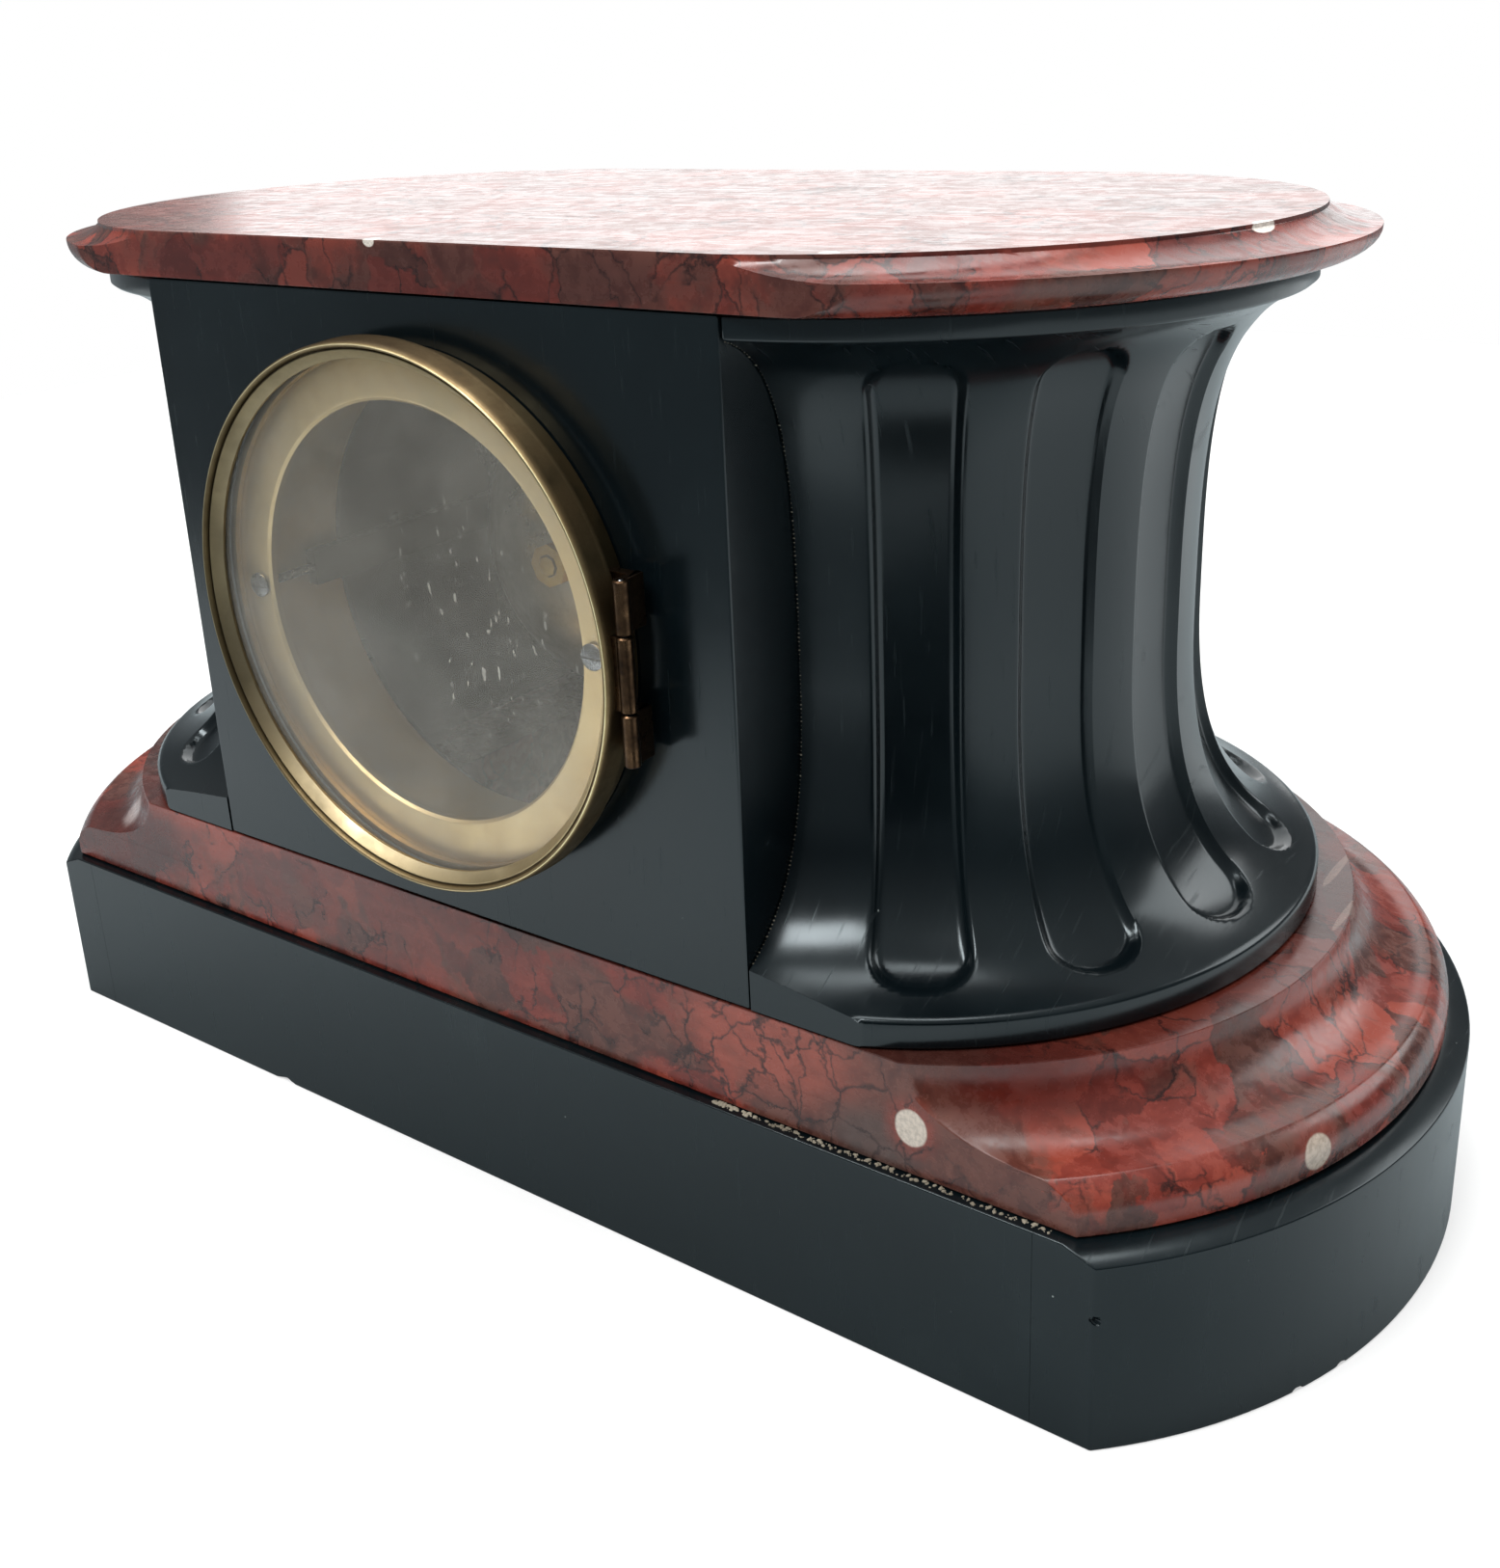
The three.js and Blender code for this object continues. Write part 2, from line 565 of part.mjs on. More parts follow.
function knuckle(ringOuter, z0, z1) {
  const x = hingeSide(ringOuter);
  const hole = HINGE_PIN_RADIUS + FIT;
  const profile = [[hole, z0], [KNUCKLE_RADIUS, z0], [KNUCKLE_RADIUS, z1], [hole, z1], [hole, z0]];
  return turnedUpright(profile, 12, x, HINGE_HEIGHT);
}

// Middle knuckle with the leaf that joins it to its door ring.
function doorKnuckle(ringOuter, ringWall) {
  const half = KNUCKLE_MIDDLE / 2;
  const x = hingeSide(ringOuter);
  const leaf = block([x, HINGE_HEIGHT - 1, -half], [-(ringOuter - ringWall / 2), HINGE_HEIGHT + 1, half]);
  const bore = turnedUpright(boreProfile(half), 12, x, HINGE_HEIGHT);
  return cut(join(knuckle(ringOuter, -half, half), leaf), bore);
}

function boreProfile(half) {
  const hole = HINGE_PIN_RADIUS + FIT;
  return [[0, -half - 1], [hole, -half - 1], [hole, half + 1], [0, half + 1]];
}

// Outer knuckle with the foot that joins it to the fixed flange; side is 1 above the door's knuckle, -1 below it.
function fixedKnuckle(ringOuter, collarOuter, collarTop, side) {
  const inner = KNUCKLE_MIDDLE / 2 + JOINT;
  const outer = inner + KNUCKLE_OUTER;
  const [z0, z1] = side > 0 ? [inner, outer] : [-outer, -inner];
  const x = hingeSide(ringOuter);
  const collarX = -Math.sqrt(collarOuter ** 2 - outer ** 2) + COLLAR_WALL / 2;
  const foot = block([x, collarTop / 2, z0], [collarX, collarTop, z1]);
  const upstand = block([x, collarTop / 2, z0], [x + KNUCKLE_RADIUS, HINGE_HEIGHT, z1]);
  const bore = turnedUpright(boreProfile(outer), 12, x, HINGE_HEIGHT);
  return cut(join(knuckle(ringOuter, z0, z1), foot, upstand), bore);
}

// A fixed flange: wide face ring, collar, tube into the hole and two hinge knuckles.
function fixedFlange({ ringOuter, inner, face, bore }) {
  const collarOuter = ringOuter - COLLAR_SETBACK;
  const collarTop = face + COLLAR_RISE;
  const ring = turnedRing([
    [TUBE_INNER, -TUBE_LENGTH],
    [TUBE_OUTER, -TUBE_LENGTH],
    [TUBE_OUTER, JOINT],
    [collarOuter, JOINT],
    [collarOuter, collarTop],
    [collarOuter - COLLAR_WALL, collarTop],
    [collarOuter - COLLAR_WALL, face],
    [inner, face],
    [inner, face - FLANGE_PLATE],
    [TUBE_INNER, face - FLANGE_PLATE],
  ], RING_STEPS);
  const hinge = [1, -1].map((side) => fixedKnuckle(ringOuter, collarOuter, collarTop, side));
  const holes = bore.map(({ x, radius }) => bar(radius, -TUBE_LENGTH, face + 1, x, 0));
  return cut(join(ring, ...hinge), ...holes);
}

// A door ring with a half-round nose, a rebate behind its lip for the glass, and its hinge knuckle.
function doorRing({ outer, width, foot, proud, lip }) {
  const inner = outer - width;
  const rebate = inner + GLASS_REBATE + JOINT;
  const shoulder = blend(foot, proud, 0.45);
  const nose = quarter(4).map((turn) => [
    blend(outer, (outer + inner) / 2, 1 - Math.cos(turn)),
    shoulder + (proud - shoulder) * Math.sin(turn),
  ]);
  const ring = turnedRing([
    [rebate, foot],
    [outer, foot],
    ...nose,
    [inner, blend(lip, proud, 0.55)],
    [inner, lip],
    [rebate, lip],
  ], RING_STEPS);
  return join(ring, doorKnuckle(outer, outer - rebate));
}

// A hinge pin, a little longer than the barrel.
function hingePin(ringOuter) {
  const half = hingeLength / 2;
  const profile = [[0, -half], [HINGE_PIN_RADIUS, -half], [HINGE_PIN_RADIUS, half], [0, half]];
  return turnedUpright(profile, SHAFT_STEPS, hingeSide(ringOuter), HINGE_HEIGHT);
}

// A wheel with pointed teeth, as [x, z] pairs.
function toothedOutline(radius, teeth, x = 0, z = 0) {
  return Array.from({ length: 2 * teeth }, (_, i) => {
    const turn = (Math.PI * i) / teeth;
    const reach = i % 2 ? radius - TOOTH_HEIGHT : radius;
    return [x + reach * Math.cos(turn), z + reach * Math.sin(turn)];
  });
}

const polar = (distance, degrees) => {
  const turn = THREE.MathUtils.degToRad(degrees);
  return { x: distance * Math.cos(turn), z: distance * Math.sin(turn) };
};
const beside = (from, distance, degrees) => {
  const step = polar(distance, degrees);
  return { x: from.x + step.x, z: from.z + step.z };
};

// Places of the arbors round the dial centre
const CENTRE = { x: 0, z: 0 };
const GOING_BARREL = { x: -BARREL_SIDE, z: -BARREL_DROP };
const STRIKE_BARREL = { x: BARREL_SIDE, z: -BARREL_DROP };
const GREAT_WHEEL = Math.hypot(BARREL_SIDE, BARREL_DROP) - CENTRE_PINION - MESH;
const THIRD = beside(CENTRE, CENTRE_WHEEL + THIRD_PINION + MESH, THIRD_BEARING);
const ESCAPE = beside(THIRD, THIRD_WHEEL + ESCAPE_PINION + MESH, ESCAPE_BEARING);
const ANCHOR_PIVOT = { x: ESCAPE.x, z: ESCAPE.z + ESCAPE_WHEEL + ANCHOR_CLEAR + ANCHOR_BAND / 2 };
const PIN_WHEEL_ARBOR = beside(STRIKE_BARREL, GREAT_WHEEL + PIN_WHEEL_PINION + MESH, PIN_WHEEL_BEARING);
const FLY_ARBOR = beside(PIN_WHEEL_ARBOR, PIN_WHEEL + FLY_PINION + MESH, FLY_BEARING);
const MINUTE_STUD = beside(CENTRE, CANNON_PINION + MINUTE_WHEEL + MESH, MINUTE_WHEEL_BEARING);
const HOUR_WHEEL = CANNON_PINION + MINUTE_WHEEL - MINUTE_WHEEL_PINION;
const HAMMER_PIVOT = { x: HAMMER_SIDE, z: -HAMMER_DROP };
const PILLAR_BEARINGS = [6, 130, 174, 270];
const PILLARS = PILLAR_BEARINGS.map((degrees) => polar(PILLAR_PLACE, degrees));
const DIAL_FEET = [90, 210, 330].map((degrees) => polar(DIAL_FOOT_PLACE, degrees));

// Places along the movement's depth, behind the face of the front panel
const FRONT_PLATE_INNER = PLATE_SETBACK + PLATE_THICK;
const BACK_PLATE_INNER = FRONT_PLATE_INNER + PLATE_GAP;
const BACK_PLATE_OUTER = BACK_PLATE_INNER + PLATE_THICK;
const DIAL_BACK = -(FRONT_FLANGE_FACE + JOINT);
const DIAL_FACE = DIAL_BACK - DIAL_THICK;
const HOUR_HAND_BACK = DIAL_FACE - HAND_GAP;
const MINUTE_HAND_BACK = HOUR_HAND_BACK - HAND_THICK - HAND_GAP;
const PENDULUM_PLANE = BACK_PLATE_OUTER + PENDULUM_SETBACK;
const inside = (place) => FRONT_PLATE_INNER + place;

const pivotHole = (at, radius = ARBOR_RADIUS) => ({ ...at, radius: radius + FIT });

// Arbor through both plates, with any number of plain discs [radius, y0, y1] turned on it.
function arbor(at, discs, y0 = PLATE_SETBACK, y1 = BACK_PLATE_OUTER) {
  const shaft = bar(ARBOR_RADIUS, y0, y1, at.x, at.z);
  return join(shaft, ...discs.map(([radius, from, to]) => bar(radius, from, to, at.x, at.z, 12)));
}

function toothedWheel(radius, teeth, at, y0, holes = []) {
  return plate(toothedOutline(radius, teeth, at.x, at.z), y0, y0 + WHEEL_THICK, holes);
}

// A spring barrel with its great wheel in front; the arbor hole runs right through.
function barrel(at) {
  const front = inside(GREAT_WHEEL_PLACE);
  const back = front + BARREL_LENGTH;
  const hole = WINDING_RADIUS + FIT;
  const drumBody = turnedRing([
    [hole, front],
    [BARREL_RADIUS, front],
    [BARREL_RADIUS, back],
    [BARREL_RADIUS - BARREL_WALL, back],
    [BARREL_RADIUS - BARREL_WALL, front + WHEEL_THICK],
    [hole, front + WHEEL_THICK],
  ], 20, at.x, at.z);
  const wheel = toothedWheel(GREAT_WHEEL, 30, at, front, [pivotHole(at, WINDING_RADIUS)]);
  return join(drumBody, wheel);
}

// The coiled mainspring as a ring that fills its barrel.
function mainspring(at) {
  const front = inside(GREAT_WHEEL_PLACE) + WHEEL_THICK + JOINT;
  const back = inside(GREAT_WHEEL_PLACE) + BARREL_LENGTH - BARREL_WALL;
  const outer = BARREL_RADIUS - BARREL_WALL - JOINT;
  const inner = WINDING_RADIUS + FIT;
  return turnedRing([[inner, front], [outer, front], [outer, back], [inner, back]], 20, at.x, at.z);
}

// Winding arbor: a round shaft through both plates, with the key square in the dial.
function windingArbor(at, back) {
  const half = WINDING_SQUARE / 2;
  const tip = DIAL_FACE - HAND_GAP / 2;
  const shaft = bar(WINDING_RADIUS, PLATE_SETBACK - JOINT, back, at.x, at.z);
  const square = block([at.x - half, tip, at.z - half], [at.x + half, PLATE_SETBACK, at.z + half]);
  return join(shaft, square);
}

// A hand: a slim leaf with a round boss, pointing up at rest.
function hand(length, boss, y0, bore) {
  const waist = length * 0.55;
  const leaf = [
    [-HAND_WIDTH * 0.25, boss * 0.6],
    [HAND_WIDTH * 0.25, boss * 0.6],
    [HAND_WIDTH / 2, waist],
    [0, length],
    [-HAND_WIDTH / 2, waist],
  ];
  const tail = y0 + HAND_THICK;
  const disc = bar(boss, y0, tail, 0, 0, 16);
  return cut(join(plate(leaf, y0, tail), disc), bar(bore, y0 - 1, tail + 1, 0, 0, 12));
}

// Ring sector that straddles the escape wheel, on an arbor that runs out behind the back plate.
function anchor() {
  const inner = ESCAPE_WHEEL + ANCHOR_CLEAR;
  const arc = (radius, from, to) => Array.from({ length: 9 }, (_, i) => {
    const spot = beside(ESCAPE, radius, 90 + blend(from, to, i / 8));
    return [spot.x, spot.z];
  });
  const outline = [
    ...arc(inner + ANCHOR_BAND, -ANCHOR_SPREAD, ANCHOR_SPREAD),
    ...arc(inner, ANCHOR_SPREAD, -ANCHOR_SPREAD),
  ];
  const front = inside(ESCAPE_WHEEL_PLACE);
  const shaft = arbor(ANCHOR_PIVOT, [], PLATE_SETBACK, BACK_PLATE_OUTER + JOINT + CRUTCH_THICK / 2);
  return join(plate(outline, front, front + WHEEL_THICK), shaft);
}

// Crutch: a strip on the anchor's arbor whose fork straddles the pendulum rod.
function crutch() {
  const { x, z } = ANCHOR_PIVOT;
  const half = CRUTCH_WIDTH / 2;
  const front = BACK_PLATE_OUTER + JOINT + CRUTCH_THICK / 2 + JOINT;
  const back = front + CRUTCH_THICK;
  const foot = z - CRUTCH_LENGTH;
  const strip = block([x - half, front, foot], [x + half, back, z + half]);
  const prongInner = ROD_RADIUS + FIT;
  const prongs = [-1, 1].map((side) => {
    const xs = [side * prongInner, side * (prongInner + CRUTCH_THICK)].sort((a, b) => a - b);
    return block(
      [x + xs[0], back - CRUTCH_THICK, foot],
      [x + xs[1], PENDULUM_PLANE + ROD_RADIUS, foot + CRUTCH_WIDTH],
    );
  });
  const yoke = block(
    [x - prongInner - CRUTCH_THICK, front, foot],
    [x + prongInner + CRUTCH_THICK, back, foot + CRUTCH_WIDTH],
  );
  return join(strip, yoke, ...prongs);
}

// Heights of the pendulum's pieces round the dial centre
const BOB_HEIGHT = ANCHOR_PIVOT.z - PENDULUM_LENGTH;
const SPRING_TOP = ANCHOR_PIVOT.z + 1.5;
const ROD_TOP = ANCHOR_PIVOT.z - 5;
const ROD_FOOT = BOB_HEIGHT - BOB_RADIUS - NUT_HEIGHT - 3 * JOINT;
const SPRING_THICK = 0.5;
const SPRING_HALF = 2;

function pendulumBob() {
  const half = BOB_THICK / 2;
  const rim = BOB_THICK / 8;
  const lens = turned([
    [0, PENDULUM_PLANE - half],
    [BOB_RADIUS * 0.6, PENDULUM_PLANE - half * 0.75],
    [BOB_RADIUS, PENDULUM_PLANE - rim],
    [BOB_RADIUS, PENDULUM_PLANE + rim],
    [BOB_RADIUS * 0.6, PENDULUM_PLANE + half * 0.75],
    [0, PENDULUM_PLANE + half],
  ], 20, ANCHOR_PIVOT.x, BOB_HEIGHT);
  return cut(lens, uprightBar(ROD_RADIUS + FIT, BOB_HEIGHT - BOB_RADIUS - 1, BOB_HEIGHT + BOB_RADIUS + 1));
}

// An upright round bar on the pendulum's line.
function uprightBar(radius, z0, z1, steps = SHAFT_STEPS) {
  return turnedUpright([[0, z0], [radius, z0], [radius, z1], [0, z1]], steps, ANCHOR_PIVOT.x, PENDULUM_PLANE);
}

function ratingNut() {
  const top = BOB_HEIGHT - BOB_RADIUS - JOINT;
  return cut(uprightBar(NUT_RADIUS, top - NUT_HEIGHT, top, 10), uprightBar(ROD_RADIUS + FIT, ROD_FOOT - 5, top + 1));
}

// Bracket on the back plate that carries the suspension spring.
function suspensionCock() {
  const { x } = ANCHOR_PIVOT;
  const foot = SPRING_TOP + JOINT;
  return block(
    [x - SPRING_HALF - 2, BACK_PLATE_OUTER + JOINT, foot],
    [x + SPRING_HALF + 2, PENDULUM_PLANE + 3, foot + 4],
  );
}

// Bell: a shallow dome whose mouth faces the back plate.
const BELL_MOUTH = BACK_PLATE_OUTER + BELL_SETBACK;

function bell() {
  const dome = (radius, height) => quarter(5).map((turn) => [
    radius * Math.cos(turn * 0.96),
    BELL_MOUTH + height * Math.sin(turn),
  ]);
  const outside = dome(BELL_RADIUS, BELL_HEIGHT).slice(0, -1);
  const lining = dome(BELL_RADIUS - BELL_WALL, BELL_HEIGHT - BELL_WALL).slice(0, -1).reverse();
  const hole = STAND_RADIUS + FIT;
  const crown = BELL_MOUTH + BELL_HEIGHT;
  return turnedRing([...outside, [hole, crown], [hole, crown - BELL_WALL], ...lining], BELL_STEPS);
}

// Stand: a post beside the pendulum, an arm behind it and a stud through the bell.
function bellStand() {
  const foot = BACK_PLATE_OUTER + JOINT;
  const arm = BACK_PLATE_OUTER + STAND_ARM_PLACE;
  const post = bar(STAND_RADIUS, foot, arm + STAND_RADIUS, STAND_SIDE, STAND_RISE);
  const stud = bar(STAND_RADIUS, arm, BELL_MOUTH + BELL_HEIGHT + NUT_HEIGHT + 2 * JOINT, 0, 0);
  const shoulderTop = BELL_MOUTH + BELL_HEIGHT - BELL_WALL - JOINT;
  const shoulder = bar(STAND_RADIUS * 2, shoulderTop - BELL_WALL, shoulderTop, 0, 0, 10);
  const length = Math.hypot(STAND_SIDE, STAND_RISE);
  const beam = new THREE.BoxGeometry(length, 2 * STAND_RADIUS, 2 * STAND_RADIUS);
  beam.rotateY(-Math.atan2(STAND_RISE, STAND_SIDE));
  beam.translate(STAND_SIDE / 2, arm + STAND_RADIUS / 2, STAND_RISE / 2);
  return join(post, stud, shoulder, solidOf(beam));
}

function bellNut() {
  const seat = BELL_MOUTH + BELL_HEIGHT + JOINT;
  const hole = STAND_RADIUS + FIT;
  const outer = 2 * STAND_RADIUS + FIT;
  const back = seat + NUT_HEIGHT;
  return turnedRing([[hole, seat], [outer, seat], [outer, back], [hole, back]], 8);
}

// Hammer: pivot in the back plate, a long arbor beside the bell, an arm and a head at the bell's rim.
function hammer() {
  const strike = BELL_MOUTH + BELL_WALL;
  const head = polar(BELL_RADIUS + HAMMER_GAP + HAMMER_HEAD_RADIUS, HAMMER_HEAD_BEARING);
  const shaft = bar(ARBOR_RADIUS, BACK_PLATE_INNER + JOINT, strike + ARBOR_RADIUS, HAMMER_PIVOT.x, HAMMER_PIVOT.z);
  const hub = bar(2 * ARBOR_RADIUS, BACK_PLATE_OUTER + JOINT, BACK_PLATE_OUTER + 4, HAMMER_PIVOT.x, HAMMER_PIVOT.z);
  const rise = head.z - HAMMER_PIVOT.z;
  const lean = head.x - HAMMER_PIVOT.x;
  const arm = new THREE.BoxGeometry(2 * ARBOR_RADIUS, 2 * ARBOR_RADIUS, Math.hypot(rise, lean));
  arm.rotateY(Math.atan2(lean, rise));
  arm.translate((head.x + HAMMER_PIVOT.x) / 2, strike, (head.z + HAMMER_PIVOT.z) / 2);
  const knob = bar(HAMMER_HEAD_RADIUS, strike - HAMMER_HEAD_RADIUS, strike + HAMMER_HEAD_RADIUS, head.x, head.z, 10);
  return join(shaft, hub, solidOf(arm), knob);
}

// Fly: a thin blade on its arbor.
function fly() {
  const front = inside(FLY_PLACE);
  const blade = block(
    [FLY_ARBOR.x - FLY_WIDTH / 2, front, FLY_ARBOR.z - 0.5],
    [FLY_ARBOR.x + FLY_WIDTH / 2, front + FLY_LENGTH, FLY_ARBOR.z + 0.5],
  );
  const pinion = inside(PIN_WHEEL_PLACE) - 1;
  return join(arbor(FLY_ARBOR, [[FLY_PINION, pinion, pinion + PINION_LENGTH]]), blade);
}

// Straps that draw the front bezel and the back flange together, and their screws
const STRAP_PLACE = PLATE_RADIUS + STRAP_SIDE_GAP + STRAP_THICK / 2;
const STRAP_FRONT = -FRONT_FLANGE_FACE + FLANGE_PLATE + JOINT;
const STRAP_BACK = BODY_DEPTH - TUBE_LENGTH / 2;

function strap(side) {
  const x = side * STRAP_PLACE;
  const half = STRAP_THICK / 2;
  const bore = bar(SCREW_RADIUS + FIT / 2, STRAP_BACK - SCREW_GRIP - 1, STRAP_BACK + 1, x, 0);
  return cut(block([x - half, STRAP_FRONT, -STRAP_WIDTH / 2], [x + half, STRAP_BACK, STRAP_WIDTH / 2]), bore);
}

function strapScrew(side) {
  const x = side * STRAP_PLACE;
  const seat = BODY_DEPTH + BACK_FLANGE_FACE + JOINT;
  const shank = bar(SCREW_RADIUS, STRAP_BACK - SCREW_GRIP, seat, x, 0);
  const collarTop = BODY_DEPTH + BACK_FLANGE_FACE + COLLAR_RISE;
  return join(shank, bar(SCREW_HEAD_RADIUS, seat, collarTop, x, 0, 12));
}

// The whole clock
const clock = new THREE.Group();

function addTo(parent, name, solid, finish) {
  const mesh = new THREE.Mesh(geometryOf(solid), new THREE.MeshStandardMaterial(FINISHES[finish]));
  mesh.name = name;
  parent.add(mesh);
  return mesh;
}

function buildCase() {
  const seam = PLINTH_PLAN.straight - PLINTH_END_BLOCK;
  const far = 2 * PLINTH_PLAN.reach;
  addTo(clock, 'plinth_back_slab', plinthStone(-seam, seam, PLINTH_BACK - PLINTH_SLAB, far), 'slate');
  addTo(clock, 'plinth_front_slab', plinthStone(-seam, seam, -far, PLINTH_FRONT + PLINTH_SLAB), 'slate');
  addTo(clock, 'plinth_right_end', plinthStone(seam + JOINT, far, -far, far), 'slate');
  addTo(clock, 'plinth_left_end', plinthStone(-far, -seam - JOINT, -far, far), 'slate');
  addTo(clock, 'base_moulding', baseMoulding(), 'marble');
  addTo(clock, 'back_panel', panel(BODY_BACK - PANEL_THICK, BODY_BACK), 'slate');
  addTo(clock, 'front_panel', panel(BODY_FRONT, BODY_FRONT + PANEL_THICK), 'slate');
  addTo(clock, 'right_drum', drum(1), 'slate');
  const turnedAbout = new THREE.Group();
  turnedAbout.position.set(0, 2 * BODY_MIDDLE, 0);
  turnedAbout.rotation.z = Math.PI;
  clock.add(turnedAbout);
  addTo(turnedAbout, 'left_drum', drum(-1), 'slate');
  addTo(clock, 'top_slab', topSlab(), 'marble');
}

function buildBackDoor() {
  const door = new THREE.Group();
  door.position.set(0, BODY_BACK, DIAL_CENTRE);
  clock.add(door);
  const foot = BACK_FLANGE_FACE + COLLAR_RISE + JOINT;
  const lip = foot + 2 * JOINT + GLASS_THICK;
  addTo(door, 'back_flange', fixedFlange({
    ringOuter: BACK_RING_OUTER,
    inner: BACK_FLANGE_INNER,
    face: BACK_FLANGE_FACE,
    bore: [-1, 1].map((side) => ({ x: side * STRAP_PLACE, radius: SCREW_RADIUS + FIT })),
  }), 'brass');
  addTo(door, 'back_door_ring', doorRing({
    outer: BACK_RING_OUTER,
    width: BACK_RING_WIDTH,
    foot,
    proud: BACK_RING_PROUD,
    lip,
  }), 'brass');
  const glassRadius = BACK_RING_OUTER - BACK_RING_WIDTH + GLASS_REBATE;
  addTo(door, 'back_door_glass', bar(glassRadius, lip - JOINT - GLASS_THICK, lip - JOINT, 0, 0, RING_STEPS), 'glass');
  addTo(door, 'back_hinge_pin', hingePin(BACK_RING_OUTER), 'steel');
}

function buildFrontDoor() {
  const door = new THREE.Group();
  door.position.set(0, BODY_FRONT, DIAL_CENTRE);
  door.rotation.z = Math.PI;
  clock.add(door);
  const foot = FRONT_FLANGE_FACE + COLLAR_RISE + JOINT;
  addTo(door, 'front_bezel', fixedFlange({
    ringOuter: FRONT_RING_OUTER,
    inner: FRONT_FLANGE_INNER,
    face: FRONT_FLANGE_FACE,
    bore: [],
  }), 'brass');
  addTo(door, 'front_door_ring', doorRing({
    outer: FRONT_RING_OUTER,
    width: FRONT_RING_WIDTH,
    foot,
    proud: FRONT_RING_PROUD,
    lip: FRONT_LIP_SEAT,
  }), 'brass');
  const rim = FRONT_RING_OUTER - FRONT_RING_WIDTH + GLASS_REBATE;
  addTo(door, 'front_door_glass', turned([
    [0, FRONT_GLASS_BACK],
    [rim, FRONT_GLASS_BACK],
    [rim, FRONT_GLASS_BACK + GLASS_EDGE],
    [rim - GLASS_BEVEL, FRONT_GLASS_BACK + GLASS_THICK],
    [0, FRONT_GLASS_BACK + GLASS_THICK],
  ], RING_STEPS), 'glass');
  addTo(door, 'front_hinge_pin', hingePin(FRONT_RING_OUTER), 'steel');
}

function buildDial(movement) {
  const holes = [
    pivotHole(CENTRE, CANNON_PINION + HOUR_PIPE_WALL),
    pivotHole(GOING_BARREL, WINDING_SQUARE),
    pivotHole(STRIKE_BARREL, WINDING_SQUARE),
  ];
  const disc = plate(circle(DIAL_RADIUS, RING_STEPS), DIAL_FACE, DIAL_BACK, holes);
  const root = (DIAL_FACE + DIAL_BACK) / 2;
  const feet = DIAL_FEET.map(({ x, z }) => bar(DIAL_FOOT_RADIUS, root, PLATE_SETBACK - JOINT, x, z));
  addTo(movement, 'dial', join(disc, ...feet), 'enamel');
  const pipe = CANNON_PINION + HOUR_PIPE_WALL - FIT;
  const hourHand = hand(HOUR_HAND_LENGTH, pipe + 2, HOUR_HAND_BACK - HAND_THICK, pipe + JOINT);
  addTo(movement, 'hour_hand', hourHand, 'bluedSteel');
  const minuteHand = hand(MINUTE_HAND_LENGTH, pipe, MINUTE_HAND_BACK - HAND_THICK, ARBOR_RADIUS + JOINT);
  addTo(movement, 'minute_hand', minuteHand, 'bluedSteel');
  const colletBack = MINUTE_HAND_BACK - HAND_THICK - JOINT;
  const bore = ARBOR_RADIUS + JOINT;
  addTo(movement, 'hand_collet', turnedRing([
    [bore, colletBack],
    [2 * ARBOR_RADIUS, colletBack],
    [2 * ARBOR_RADIUS, colletBack - COLLET_HEIGHT],
    [bore, colletBack - COLLET_HEIGHT],
  ], 12), 'brass');
}

function buildPlates(movement) {
  const arbors = [CENTRE, THIRD, ESCAPE, ANCHOR_PIVOT, PIN_WHEEL_ARBOR, FLY_ARBOR].map((at) => pivotHole(at));
  const winding = [GOING_BARREL, STRIKE_BARREL].map((at) => pivotHole(at, WINDING_RADIUS));
  const outline = circle(PLATE_RADIUS, RING_STEPS);
  const frontHoles = [...arbors, ...winding, pivotHole(MINUTE_STUD)];
  const backHoles = [...arbors, ...winding, pivotHole(HAMMER_PIVOT)];
  addTo(movement, 'front_plate', plate(outline, PLATE_SETBACK, FRONT_PLATE_INNER, frontHoles), 'brass');
  const pillars = PILLARS.map(({ x, z }) => bar(
    PILLAR_RADIUS,
    FRONT_PLATE_INNER + JOINT,
    BACK_PLATE_INNER + PLATE_THICK / 2,
    x,
    z,
  ));
  const backPlate = plate(outline, BACK_PLATE_INNER, BACK_PLATE_OUTER, backHoles);
  addTo(movement, 'back_plate', join(backPlate, ...pillars), 'brass');
  addTo(movement, 'left_strap', strap(-1), 'steel');
  addTo(movement, 'right_strap', strap(1), 'steel');
  addTo(movement, 'left_strap_screw', strapScrew(-1), 'steel');
  addTo(movement, 'right_strap_screw', strapScrew(1), 'steel');
}

